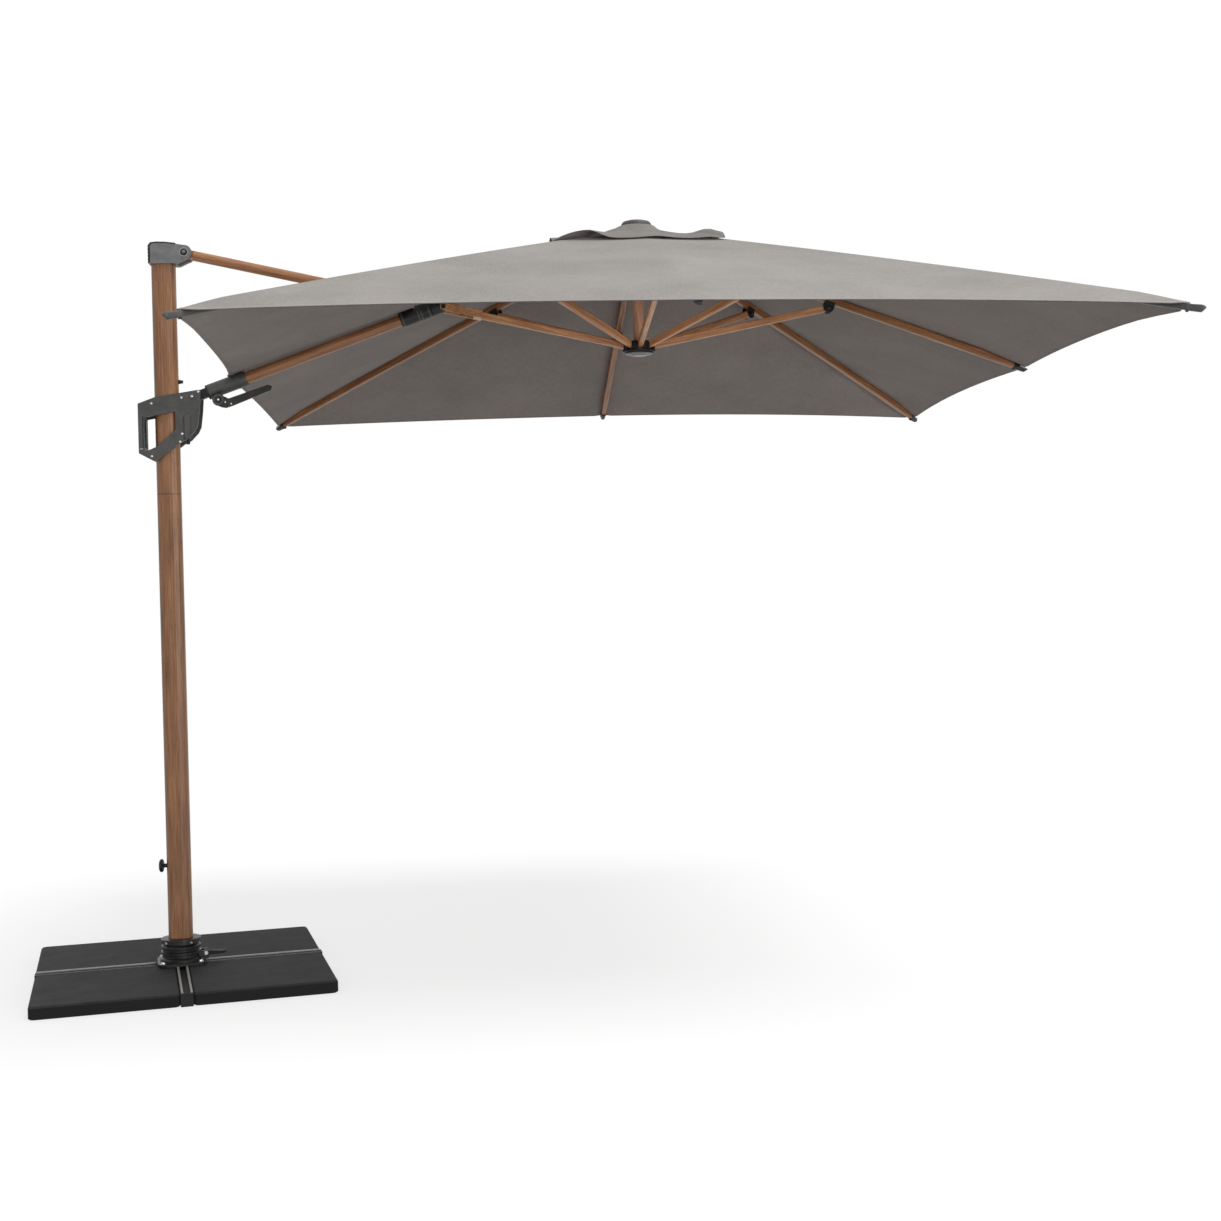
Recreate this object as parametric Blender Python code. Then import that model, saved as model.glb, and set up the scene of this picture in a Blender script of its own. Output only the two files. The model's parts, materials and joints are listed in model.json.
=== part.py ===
"""Cantilever parasol: slab base, swivelling mast, scissor arm with a sliding handle, and a square canopy.

Metres, +Z up. The origin is on the ground under the mast. The arm reaches along +X.
"""

import math

import bmesh
import bpy
from mathutils import Matrix, Vector

for leftover in list(bpy.data.objects):
    bpy.data.objects.remove(leftover, do_unlink=True)

# Gap left between pieces that touch.
FIT = 0.0003

# Base: four slabs in the quarters of a cross of two channel beams.
BASE_YAW = math.radians(11)
SLAB_SIDE = 0.49
SLAB_HEIGHT = 0.045
BEAM_WIDTH = 0.04
BEAM_HEIGHT = 0.047
BEAM_GROOVE = (0.022, 0.008)
BASE_SIDE = 2 * SLAB_SIDE + BEAM_WIDTH + 2 * FIT

# Foot: plate, ribbed socket, bush and the spigot that the mast stands on.
PLATE_SIDE = 0.17
PLATE_HEIGHT = 0.010
SOCKET_BORE = 0.0455
SOCKET_HEIGHT = 0.060
SPIGOT_RADIUS = 0.0425
SPIGOT_TUBE = 0.0285
SPIGOT_BORE = 0.024
SPIGOT_TOP = 0.50
COLLAR_RADIUS = 0.068
PEDAL_HINGE = (0.087, 0.020)
MAST_FOOT = 0.1393

# Mast: an oval tube in two lengths over an inner sleeve.
MAST_SECTION = (0.087, 0.064, 0.028)
MAST_WALL = 0.003
MAST_JOINT = 1.7685
MAST_TOP = 2.6087
KNOB_Z = 0.405
KNOB_RADIUS = 0.024
STOP_Z = 2.181

# Scissor linkage, as points (x, z) in the plane of the arm.
TOP_PIVOT = (0.080, 2.650)
SLIDE_PIVOT = (0.097, 2.1225)
CROSSING = (0.999, 2.451)
ROD_PIVOT_BACK = 0.055
STRUT_PIVOT_ON = 0.020
LEVER_PIVOT = (0.0835, -0.0442)
SLEEVE_RADIUS = 0.0275
BARREL_RADIUS = 0.0285
FORK_INNER = 0.0293
FORK_OUTER = 0.0353
FORK_GAP = 0.116
FORK_LENGTH = 0.146
ROD_RADIUS = 0.0185
ARM_RADIUS = 0.0215
TUBE_WALL = 0.0025
PIN_RADIUS = 0.006
SLIM_PIN_RADIUS = 0.005

# Slider: two cheek plates on either side of the mast, with the grip between them.
CHEEK_INNER = 0.037
CHEEK_OUTER = 0.045
GRIP_LEFT = -0.098
GRIP_RIGHT = -0.0788
TRIGGER_TRAVEL = 0.004
TRIGGER_ENDS = (1.9385, 2.0425)

# Canopy: a square with eight ribs that hang from the upper hub and are propped from the lower hub.
HUB_X = 1.75
HINGE_RADIUS = 0.05
CANOPY_HALF = 1.5
MIDDLE_SLOPE = math.radians(19.3)
CORNER_JOINT = (0.701, 0.1745)
CORNER_TIP = (math.sqrt(2) * CANOPY_HALF - HINGE_RADIUS, 0.5390)
RIB_JOINT = 0.690
RIBS = {"right": 0, "far_right": 1, "far": 2, "far_left": 3, "near_left": 5, "near": 6, "near_right": 7}
LUG_DROP = 0.030
RIB_SECTION = (0.024, 0.028, 0.005)
RIB_END = (0.016, 0.015, 0.004)
RIB_TAPER = 0.18
STRUT_SECTION = (0.020, 0.026, 0.004)
SECTION_WALL = 0.002
END_OVERRUN = 0.008
POST_RADIUS = 0.020
HUB_PLATE = 0.0185
HUB_SLOT = 0.0255
FABRIC = 0.002
FABRIC_LIFT = 0.0175
FABRIC_LIFT_ARM = 0.033
CORNER_BARE = 0.034
MIDDLE_BARE = 0.008
EDGE_HOLLOW = 0.02
OPENING_MIDDLE = 0.24
OPENING_CORNER = 0.30
FLAP_HALF = 0.32
FLAP_FLAT = 0.072
FLAP_HEM_DROP = 0.090
FLAP_WAVE = 0.007


def direction(start, end):
    """Angle of the line between two points of the arm plane."""
    return math.atan2(end[1] - start[1], end[0] - start[0])


def distance(start, end):
    return math.hypot(end[0] - start[0], end[1] - start[1])


def step_from(point, angle, length):
    return (point[0] + length * math.cos(angle), point[1] + length * math.sin(angle))


ARM_ANGLE = direction(SLIDE_PIVOT, CROSSING)
ROD_ANGLE = direction(TOP_PIVOT, CROSSING)
ROD_PIVOT = step_from(CROSSING, ROD_ANGLE, -ROD_PIVOT_BACK)
STRUT_PIVOT = step_from(CROSSING, ROD_ANGLE, STRUT_PIVOT_ON)
HINGE_REACH = HUB_X - HINGE_RADIUS - CROSSING[0]
ARM_HINGE = (HUB_X - HINGE_RADIUS, CROSSING[1] + HINGE_REACH * math.tan(ARM_ANGLE))
LOW_HINGE = (HUB_X - HINGE_RADIUS, CROSSING[1] + HINGE_REACH * math.tan(ROD_ANGLE))
HINGE_Z = ARM_HINGE[1]
HINGE_DROP = LOW_HINGE[1] - HINGE_Z
HUB_TOP = HINGE_Z + 0.0356
HUB_BOTTOM = HINGE_Z - 0.0164
LOW_HUB_FLOOR = LOW_HINGE[1] - 0.0203
LOW_HUB_BASE = LOW_HUB_FLOOR - 0.008
PLATE_BOTTOM = BEAM_HEIGHT + FIT
SOCKET_BOTTOM = PLATE_BOTTOM + PLATE_HEIGHT + FIT
COLLAR_BOTTOM = SOCKET_BOTTOM + SOCKET_HEIGHT + 0.0036


def finish(name, colour, roughness, metallic=0.0):
    """A Principled material."""
    made = bpy.data.materials.new(name)
    made.use_nodes = True
    shader = made.node_tree.nodes["Principled BSDF"]
    shader.inputs["Base Color"].default_value = (*colour, 1.0)
    shader.inputs["Roughness"].default_value = roughness
    shader.inputs["Metallic"].default_value = metallic
    return made


WOOD_LOOK = finish("wood_look_aluminium", (0.30, 0.15, 0.085), 0.5)
CHARCOAL = finish("charcoal_casting", (0.055, 0.055, 0.053), 0.45, 0.2)
BLACK = finish("black_plastic", (0.018, 0.018, 0.018), 0.45)
CAP_GREY = finish("grey_casting", (0.17, 0.17, 0.17), 0.4, 0.3)
SLAB_BLACK = finish("slab_black", (0.03, 0.03, 0.031), 0.6)
STEEL_BLACK = finish("black_painted_steel", (0.02, 0.02, 0.021), 0.4, 0.4)
STEEL = finish("zinc_steel", (0.55, 0.55, 0.55), 0.3, 1.0)
CLOTH = finish("taupe_canvas", (0.36, 0.34, 0.31), 0.9)


def add(name, shape, look, origin=(0, 0, 0), turn=0.0, local=False, parent=None):
    """Makes the object of a shape, which is in world places unless local says it is about the origin."""
    if not local:
        shape.transform(Matrix.Translation(-Vector(origin)))
    mesh = bpy.data.meshes.new(name)
    shape.to_mesh(mesh)
    shape.free()
    mesh.shade_smooth()
    mesh.set_sharp_from_angle(angle=math.radians(32))
    mesh.materials.append(look)
    made = bpy.data.objects.new(name, mesh)
    made.location = origin
    made.rotation_euler.z = turn
    made.parent = parent
    bpy.context.collection.objects.link(made)
    return made


def rounded(width, height, radius, steps=3):
    """Points of a rectangle with round corners, centred on 0."""
    points = []
    for quarter in range(4):
        corner_a = (1, -1, -1, 1)[quarter] * (width / 2 - radius)
        corner_b = (1, 1, -1, -1)[quarter] * (height / 2 - radius)
        for step in range(steps + 1):
            angle = math.pi / 2 * (quarter + step / steps)
            points.append((corner_a + radius * math.cos(angle), corner_b + radius * math.sin(angle)))
    return points


def shrunk(section, wall):
    """The section left inside a wall of this thickness."""
    return (section[0] - 2 * wall, section[1] - 2 * wall, max(section[2] - wall, 0.001))


def arc(centre, radius, start, end, steps):
    """Points of an arc between two angles in degrees."""
    sweep = [math.radians(start + (end - start) * step / steps) for step in range(steps + 1)]
    return [(centre[0] + radius * math.cos(a), centre[1] + radius * math.sin(a)) for a in sweep]


def bridge(shape, near, far):
    for index in range(len(near)):
        after = (index + 1) % len(near)
        shape.faces.new((near[index], near[after], far[after], far[index]))


def loft(rings, bore=None, looped=False):
    """A skin over a row of rings: capped, or with an open bore, or closed on itself."""
    shape = bmesh.new()
    layers = [rings, bore] if bore else [rings]
    skins = [[[shape.verts.new(point) for point in ring] for ring in skin] for skin in layers]
    for skin in skins:
        for near, far in zip(skin, skin[1:]):
            bridge(shape, near, far)
    if looped:
        bridge(shape, skins[0][-1], skins[0][0])
    else:
        for end in (0, -1):
            if bore:
                bridge(shape, skins[0][end], skins[1][end])
            else:
                shape.faces.new(skins[0][end])
    bmesh.ops.recalc_face_normals(shape, faces=shape.faces)
    return shape


def upright(outline, low, high):
    """An (x, y) outline raised from one height to another."""
    return loft([[(x, y, z) for x, y in outline] for z in (low, high)])


def across(outline, low, high):
    """An (x, z) outline carried along Y."""
    return loft([[(x, y, z) for x, z in outline] for y in (low, high)])


def block(low, high):
    corners = [(low[0], low[1]), (high[0], low[1]), (high[0], high[1]), (low[0], high[1])]
    return upright(corners, low[2], high[2])


def turned(profile, count=20, centre=(0, 0, 0), axis=(0, 0, 1), ring=False):
    """A turned solid from (radius, height) points, or a ring from a closed outline."""
    aim = Vector((0, 0, 1)).rotation_difference(Vector(axis)).to_matrix()
    angles = [2 * math.pi * step / count for step in range(count)]
    rings = []
    for radius, height in profile:
        flat = [Vector((radius * math.cos(a), radius * math.sin(a), height)) for a in angles]
        rings.append([Vector(centre) + aim @ point for point in flat])
    return loft(rings, looped=ring)


def combine(body, tool, operation):
    """Boolean of two closed shapes."""
    holders = []
    for shape in (body, tool):
        mesh = bpy.data.meshes.new("shape")
        shape.to_mesh(mesh)
        shape.free()
        holders.append(bpy.data.objects.new("holder", mesh))
        bpy.context.collection.objects.link(holders[-1])
    step = holders[0].modifiers.new("step", "BOOLEAN")
    step.operation = operation
    step.object = holders[1]
    bpy.context.view_layer.update()
    result = bmesh.new()
    result.from_object(holders[0], bpy.context.evaluated_depsgraph_get())
    for holder in holders:
        bpy.data.objects.remove(holder, do_unlink=True)
    return result


def cut(body, *tools):
    for tool in tools:
        body = combine(body, tool, "DIFFERENCE")
    return body


def join(body, *tools):
    for tool in tools:
        body = combine(body, tool, "UNION")
    return body


def hole(point, radius, reach=0.2):
    """A cutter along Y at a point of the arm plane."""
    return turned([(radius, -reach), (radius, reach)], 16, (point[0], 0, point[1]), (0, 1, 0))


def pin(point, radius, half, head_radius, head):
    """A pin along Y with a head at each end, outside the half width."""
    inner = half + FIT
    side = [(radius, inner), (head_radius, inner)]
    side += [(head_radius, inner + head * 0.7), (head_radius * 0.8, inner + head)]
    profile = [(r, -y) for r, y in reversed(side)] + side
    return turned(profile, 14, (point[0], 0, point[1]), (0, 1, 0))


class Bar:
    """A straight line in the arm plane, with places given along it and off it, upwards."""

    def __init__(self, start, angle):
        self.start = start
        self.angle = angle
        self.along = (math.cos(angle), math.sin(angle))

    def at(self, along, off=0.0):
        run, rise = self.along
        return (self.start[0] + along * run - off * rise, self.start[1] + along * rise + off * run)

    def outline(self, points):
        return [self.at(*point) for point in points]

    def plate(self, points, low, high):
        return across(self.outline(points), low, high)

    def round(self, profile, count=20, ring=False):
        """Turned about the bar, from (radius, along) points."""
        centre = (self.start[0], 0, self.start[1])
        return turned(profile, count, centre, (self.along[0], 0, self.along[1]), ring)

    def tube(self, radius, wall, low, high):
        inner = radius - wall
        return self.round([(inner, low), (radius, low), (radius, high), (inner, high)], ring=True)


def make_base():
    """Cross beams, slabs and the foot, turned about the mast by the base's own yaw."""
    axis = bpy.data.objects.new("base_axis", None)
    axis.rotation_euler.z = BASE_YAW
    bpy.context.collection.objects.link(axis)
    half, groove, depth = BEAM_WIDTH / 2, BEAM_GROOVE[0] / 2, BEAM_HEIGHT - BEAM_GROOVE[1]
    channel = [(-half, 0), (half, 0), (half, BEAM_HEIGHT), (groove, BEAM_HEIGHT), (groove, depth)]
    channel += [(-groove, depth), (-groove, BEAM_HEIGHT), (-half, BEAM_HEIGHT)]
    ends = (-BASE_SIDE / 2, BASE_SIDE / 2)
    reach, middle = half + FIT, BEAM_HEIGHT / 2
    long_beam = loft([[(x, y, z) for y, z in channel] for x in ends])
    long_beam = cut(long_beam, block((-reach, -1, middle), (reach, 1, 1)))
    cross_beam = loft([[(-x, y, z) for x, z in channel] for y in ends])
    cross_beam = cut(cross_beam, block((-1, -reach, -1), (1, reach, middle + FIT)))
    add("base_beam_long", long_beam, STEEL_BLACK, parent=axis)
    add("base_beam_cross", cross_beam, STEEL_BLACK, parent=axis)

    place = half + FIT + SLAB_SIDE / 2
    levels = [(0.006, 0), (0, 0.005), (0, SLAB_HEIGHT - 0.006), (0.006, SLAB_HEIGHT)]
    quarters = {"near_left": (-1, -1), "near_right": (1, -1), "far_left": (-1, 1), "far_right": (1, 1)}
    for quarter, (side_x, side_y) in quarters.items():
        rings = []
        for inset, z in levels:
            outline = rounded(SLAB_SIDE - 2 * inset, SLAB_SIDE - 2 * inset, 0.014)
            rings.append([(side_x * place + x, side_y * place + y, z) for x, y in outline])
        add("slab_" + quarter, loft(rings), SLAB_BLACK, parent=axis)

    top = PLATE_BOTTOM + PLATE_HEIGHT
    plate = upright(rounded(PLATE_SIDE, PLATE_SIDE, 0.03), PLATE_BOTTOM, top)
    add("foot_plate", plate, STEEL_BLACK, parent=axis)

    ribs = [(0.075, 0), (0.075, 0.008), (0.067, 0.014), (0.067, 0.024), (0.073, 0.027), (0.073, 0.034)]
    ribs += [(0.066, 0.037), (0.066, 0.044), (0.071, 0.047), (0.071, 0.054), (0.064, SOCKET_HEIGHT)]
    bore = [(SOCKET_BORE, SOCKET_HEIGHT), (SOCKET_BORE, 0)]
    profile = [(radius, SOCKET_BOTTOM + z) for radius, z in ribs + bore]
    socket = turned(profile, 28, ring=True)
    hinge = (PEDAL_HINGE[0], SOCKET_BOTTOM + PEDAL_HINGE[1])
    ears = [block((0.062, side - 0.004, SOCKET_BOTTOM), (0.096, side + 0.004, SOCKET_BOTTOM + 0.030))
            for side in (-0.022, 0.022)]
    socket = cut(join(socket, *ears), hole(hinge, SLIM_PIN_RADIUS + FIT, 0.05))
    add("foot_socket", socket, STEEL_BLACK, parent=axis)
    inner, lip = SPIGOT_RADIUS + FIT, SOCKET_BOTTOM + SOCKET_HEIGHT + FIT
    outer = SOCKET_BORE - FIT
    bush = [(inner, SOCKET_BOTTOM), (outer, SOCKET_BOTTOM), (outer, lip), (0.062, lip)]
    bush += [(0.062, lip + 0.003), (inner, lip + 0.003)]
    add("swivel_bush", turned(bush, 28, ring=True), BLACK, parent=axis)

    tread = [(0.055, -0.007), (0.073, -0.004), (0.073, 0.004), (0.053, 0.002)]
    pedal = arc(hinge, 0.010, 45, 300, 10) + [(hinge[0] + x, hinge[1] + z) for x, z in tread]
    pedal = cut(across(pedal, -0.0175, 0.0175), hole(hinge, SLIM_PIN_RADIUS + FIT))
    spot = Vector((hinge[0], 0, hinge[1]))
    add("foot_pedal", pedal, BLACK, origin=spot, parent=axis)
    add("pedal_pin", pin(hinge, SLIM_PIN_RADIUS, 0.026, 0.008, 0.003), STEEL, parent=axis)


def make_mast():
    low = SOCKET_BOTTOM + 0.002
    spigot = [(SPIGOT_BORE, low), (SPIGOT_RADIUS, low), (SPIGOT_RADIUS, COLLAR_BOTTOM)]
    spigot += [(COLLAR_RADIUS, COLLAR_BOTTOM), (COLLAR_RADIUS, MAST_FOOT - 0.004)]
    spigot += [(0.060, MAST_FOOT - FIT), (SPIGOT_TUBE, MAST_FOOT - FIT)]
    spigot += [(SPIGOT_TUBE, SPIGOT_TOP), (SPIGOT_BORE, SPIGOT_TOP)]
    add("mast_spigot", turned(spigot, 28, ring=True), BLACK)

    outer, inner = rounded(*MAST_SECTION, 5), rounded(*shrunk(MAST_SECTION, MAST_WALL), 5)
    lengths = {"mast_lower": (MAST_FOOT, MAST_JOINT), "mast_upper": (MAST_JOINT + FIT, MAST_TOP)}
    for name, ends in lengths.items():
        skins = [[[(x, y, z) for x, y in outline] for z in ends] for outline in (outer, inner)]
        tube = loft(*skins)
        if name == "mast_lower":
            tube = cut(tube, turned([(0.0055, 0.03), (0.0055, 0.06)], 12, (0, 0, KNOB_Z), (-1, 0, 0)))
        add(name, tube, WOOD_LOOK)
    plug = shrunk(MAST_SECTION, MAST_WALL + FIT)
    skins = [[[(x, y, z) for x, y in rounded(*section, 5)] for z in (MAST_JOINT - 0.15, MAST_JOINT + 0.15)]
             for section in (plug, shrunk(plug, MAST_WALL))]
    add("mast_joint_sleeve", loft(*skins), STEEL)

    roof = MAST_TOP + FIT
    outline = [(-0.0455, roof), (0.055, roof)] + arc(TOP_PIVOT, 0.027, -80, 62, 8)
    crown = [(0.050, 0.0713), (0.012, 0.0755), (-0.018, 0.0762), (-0.0385, 0.0735), (-0.0455, 0.066)]
    outline += [(x, roof + rise) for x, rise in crown]
    cap = across(outline, -0.040, 0.040)
    cap = join(cap, upright(rounded(*plug, 5), MAST_TOP - 0.05, roof + 0.02))
    slot = block((0.052, -0.0195, 2.55), (0.2, 0.0195, TOP_PIVOT[1] + 0.0215))
    add("mast_cap", cut(cap, slot, hole(TOP_PIVOT, PIN_RADIUS + FIT)), CAP_GREY)
    add("top_pivot_bolt", pin(TOP_PIVOT, PIN_RADIUS, 0.040, 0.0105, 0.004), BLACK)
    face = MAST_SECTION[0] / 2
    stop = [(0.008, face + FIT), (0.008, face + 0.006), (0.006, face + 0.009), (0.006, face + 0.016)]
    add("slider_stop", turned(stop, 12, (0, 0, STOP_Z), (1, 0, 0)), BLACK)
    knob = [(0.005, SPIGOT_TUBE + FIT), (0.005, face + FIT), (0.0075, face + FIT), (0.0075, 0.056)]
    knob += [(KNOB_RADIUS - 0.004, 0.056), (KNOB_RADIUS, 0.060)]
    knob += [(KNOB_RADIUS, 0.066), (KNOB_RADIUS - 0.005, 0.070)]
    add("mast_knob", turned(knob, 18, (0, 0, KNOB_Z), (-1, 0, 0)), BLACK, origin=(0, 0, KNOB_Z))


def make_slider():
    spot = (SLIDE_PIVOT[0], 0, SLIDE_PIVOT[1])
    outline = [(GRIP_LEFT, 2.098), (-0.037, 2.121), (0.119, 2.146), (0.128, 2.142), (0.123, 2.072)]
    outline += [(0.116, 2.017), (0.106, 1.996), (0.080, 1.968), (0.055, 1.955)]
    outline += [(-0.035, 1.887), (-0.045, 1.888), (GRIP_LEFT, 1.917)]
    window = [(GRIP_RIGHT, 2.047), (0.035, 2.067), (0.035, 2.002), (-0.033, 1.941), (GRIP_RIGHT, 1.921)]
    for name, side in (("front", -1), ("rear", 1)):
        low, high = sorted((side * CHEEK_INNER, side * CHEEK_OUTER))
        bored = cut(across(outline, low, high), hole(SLIDE_PIVOT, PIN_RADIUS + FIT))
        add("slider_cheek_" + name, cut(bored, across(window, -0.1, 0.1)), CHARCOAL, origin=spot)

    centre, width, depth = (GRIP_LEFT + GRIP_RIGHT) / 2, GRIP_RIGHT - GRIP_LEFT, 2 * (CHEEK_INNER - FIT)
    grip = upright([(centre + x, y) for x, y in rounded(width, depth, 0.009)], 1.920, 2.096)
    low, high = TRIGGER_ENDS
    pocket = block((GRIP_RIGHT - 0.011, -0.0125, low - 0.0005), (GRIP_RIGHT + 0.1, 0.0125, high + 0.0005))
    add("slider_grip", cut(grip, pocket), CHARCOAL, origin=spot)
    face = GRIP_RIGHT + TRIGGER_TRAVEL
    trigger = [(face - 0.010, low), (face - 0.002, low), (face, low + 0.0045)]
    trigger += [(face, high - 0.0045), (face - 0.002, high), (face - 0.010, high)]
    add("slider_trigger", across(trigger, -0.0120, 0.0120), BLACK, origin=(face, 0, (low + high) / 2))

    edge = -CHEEK_OUTER - FIT
    levels = [(0.0, edge), (0.0, edge - 0.005), (0.003, edge - 0.008)]
    rings = []
    for inset, y in levels:
        section = rounded(0.024 - 2 * inset, 0.090 - 2 * inset, 0.006 - inset)
        rings.append([(0.078 + x, y, 2.010 + z) for x, z in section])
    add("latch_housing", loft(rings), CHARCOAL, origin=spot)
    mast_face, width = MAST_SECTION[0] / 2 + 0.001, CHEEK_INNER - FIT
    for name, low in (("upper", 2.070), ("lower", 1.985)):
        pad = block((mast_face, -width, low), (mast_face + 0.018, width, low + 0.030))
        add("glide_pad_" + name, pad, BLACK, origin=spot)
    add("slider_pivot_pin", pin(SLIDE_PIVOT, PIN_RADIUS, CHEEK_OUTER, 0.009, 0.003), STEEL, origin=spot)


def make_rod():
    """The upper bar, from the mast cap to the crossing."""
    spot = (TOP_PIVOT[0], 0, TOP_PIVOT[1])
    rod, length = Bar(TOP_PIVOT, ROD_ANGLE), distance(TOP_PIVOT, ROD_PIVOT)
    fork_start, plug = length - 0.105, ROD_RADIUS - TUBE_WALL - FIT
    tongue = arc((0, 0), 0.0155, 90, 270, 8) + [(0.033, -0.0155), (0.033, 0.0155)]
    eye = rod.plate(tongue, -0.0142, 0.0142)
    tube = rod.tube(ROD_RADIUS, TUBE_WALL, 0.029, fork_start - FIT)
    tube = cut(join(tube, eye), hole(TOP_PIVOT, PIN_RADIUS + FIT))
    add("top_rod", tube, WOOD_LOOK, origin=spot)
    cheek = arc((length, 0), 0.014, -90, 90, 8) + [(fork_start, ROD_RADIUS), (fork_start, -ROD_RADIUS)]
    fork = rod.plate(cheek, -0.033, 0.033)
    fork = join(fork, rod.round([(plug, fork_start - 0.04), (plug, fork_start + 0.01)]))
    gap = [(length - 0.062, -0.05), (length + 0.05, -0.05), (length + 0.05, 0.05), (length - 0.062, 0.05)]
    fork = cut(fork, rod.plate(gap, -0.0284, 0.0284), hole(ROD_PIVOT, SLIM_PIN_RADIUS + FIT))
    add("rod_fork", fork, BLACK, origin=spot)
    add("scissor_pin", pin(ROD_PIVOT, SLIM_PIN_RADIUS, 0.033, 0.009, 0.003), STEEL, origin=spot)


def make_boom():
    """Fittings that the arm turns in when the canopy tilts: collar, sleeve, neck and lever."""
    spot = (ROD_PIVOT[0], 0, ROD_PIVOT[1])
    arm = Bar(SLIDE_PIVOT, ARM_ANGLE)
    near_crossing = Bar(CROSSING, ARM_ANGLE)
    bore = ARM_RADIUS + 2 * FIT
    barrel = [(0.026, -0.150), (BARREL_RADIUS, -0.147), (BARREL_RADIUS, -0.033), (0.026, -0.030)]
    lug = [(-0.105, 0), (-0.0302, 0), (-0.0302, 0.036), (-0.040, 0.041), (-0.058, 0.041), (-0.072, 0.037)]
    collar = join(near_crossing.round(barrel, 28), near_crossing.plate(lug, -0.028, 0.028))
    passage = near_crossing.round([(bore, -0.2), (bore, 0.2)], 24)
    add("scissor_collar", cut(collar, passage, hole(ROD_PIVOT, SLIM_PIN_RADIUS + FIT)), BLACK, origin=spot)

    tongue = arc((0, 0), 0.017, 90, 270, 8) + [(0.056, -0.017), (0.056, 0.017)]
    plug = [(SLEEVE_RADIUS, 0.053), (SLEEVE_RADIUS, 0.0597), (0.0222, 0.0597), (0.0222, 0.085)]
    neck = join(arm.plate(tongue, -0.014, 0.014), arm.round(plug))
    add("arm_neck", cut(neck, hole(SLIDE_PIVOT, PIN_RADIUS + FIT)), BLACK, origin=spot)

    lever_pivot = arm.at(*LEVER_PIVOT)
    inner = SLEEVE_RADIUS - 0.005
    sleeve = [(SLEEVE_RADIUS, 0.060), (SLEEVE_RADIUS, 0.200), (SLEEVE_RADIUS - 0.002, 0.203)]
    sleeve = arm.round(sleeve + [(inner, 0.203), (inner, 0.060)], 24, True)
    lug = arm.plate([(0.069, -0.0245), (0.069, -0.056), (0.098, -0.056), (0.098, -0.0245)], -0.0285, 0.0285)
    sleeve = cut(join(sleeve, lug), hole(lever_pivot, SLIM_PIN_RADIUS + FIT))
    add("arm_sleeve", sleeve, CHARCOAL, origin=spot)
    pin_profile = [(SLIM_PIN_RADIUS, -0.0285), (SLIM_PIN_RADIUS, 0.0413), (0.009, 0.0413), (0.008, 0.0443)]
    centre = (lever_pivot[0], 0, lever_pivot[1])
    add("lever_pin", turned(pin_profile, 12, centre, (0, -1, 0)), STEEL, origin=spot)

    along, off = LEVER_PIVOT
    teeth = [(0.023 - 0.002 * (step % 2), math.tau * step / 32) for step in range(32)]
    wheel = [(along + r * math.cos(a), off + r * math.sin(a)) for r, a in teeth]
    hub = arm.plate(wheel, -0.041, -0.0288)
    handle = [(-0.010, -0.018), (0.000, -0.029), (0.015, -0.0375), (0.039, -0.0385), (0.1895, -0.034)]
    handle += [(0.199, -0.022), (0.187, -0.0116), (0.036, -0.0086), (0.020, 0.008)]
    handle = [(along + x, off + z) for x, z in handle]
    lever = cut(join(hub, arm.plate(handle, -0.039, -0.0290)), hole(lever_pivot, SLIM_PIN_RADIUS + FIT))
    add("tilt_lever", lever, CHARCOAL, origin=centre)


def make_arm():
    """The main arm, from the sleeve to the upper hub, and the left strut that goes on from the rod."""
    arm, length = Bar(SLIDE_PIVOT, ARM_ANGLE), distance(SLIDE_PIVOT, ARM_HINGE)
    spot = (SLIDE_PIVOT[0], 0, SLIDE_PIVOT[1])
    tube_end, tip = length - 0.034, length + END_OVERRUN
    tube = arm.tube(ARM_RADIUS, TUBE_WALL, 0.0865, tube_end)
    tongue = [(tube_end - 0.002, -0.020), (tip, -0.013), (tip, 0.013), (tube_end - 0.002, 0.020)]
    tube = join(tube, arm.plate(tongue, -0.0115, 0.0115))
    add("main_arm", cut(tube, hole(STRUT_PIVOT, SLIM_PIN_RADIUS + FIT)), WOOD_LOOK, origin=spot)
    add("strut_pin", pin(STRUT_PIVOT, SLIM_PIN_RADIUS, FORK_OUTER, 0.009, 0.003), STEEL, origin=spot)

    strut, length = Bar(STRUT_PIVOT, ROD_ANGLE), distance(STRUT_PIVOT, LOW_HINGE)
    spot = (STRUT_PIVOT[0], 0, STRUT_PIVOT[1])
    half = STRUT_SECTION[1] / 2
    plug = shrunk(STRUT_SECTION, 2 * SECTION_WALL)
    fork = arc((0, 0), half, 90, 270, 8) + [(FORK_LENGTH, -half), (FORK_LENGTH, half)]
    fork = strut.plate(fork, -FORK_OUTER, FORK_OUTER)
    gap = [(-0.05, -0.05), (FORK_GAP, -0.05), (FORK_GAP, 0.05), (-0.05, 0.05)]
    fork = cut(fork, strut.plate(gap, -FORK_INNER, FORK_INNER), hole(STRUT_PIVOT, SLIM_PIN_RADIUS + FIT))
    low, high, rise = FORK_LENGTH - 0.005, FORK_LENGTH + 0.030, plug[1] / 2
    tail = [(low, -rise), (high, -rise), (high, rise), (low, rise)]
    fork = join(fork, strut.plate(tail, -plug[0] / 2, plug[0] / 2))
    add("strut_left_fork", fork, WOOD_LOOK, origin=spot)
    ends = [strut.at(FORK_LENGTH + FIT), strut.at(length + END_OVERRUN)]
    add("strut_left", box_tube([(x, 0, z) for x, z in ends], STRUT_SECTION), WOOD_LOOK, origin=spot)


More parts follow.
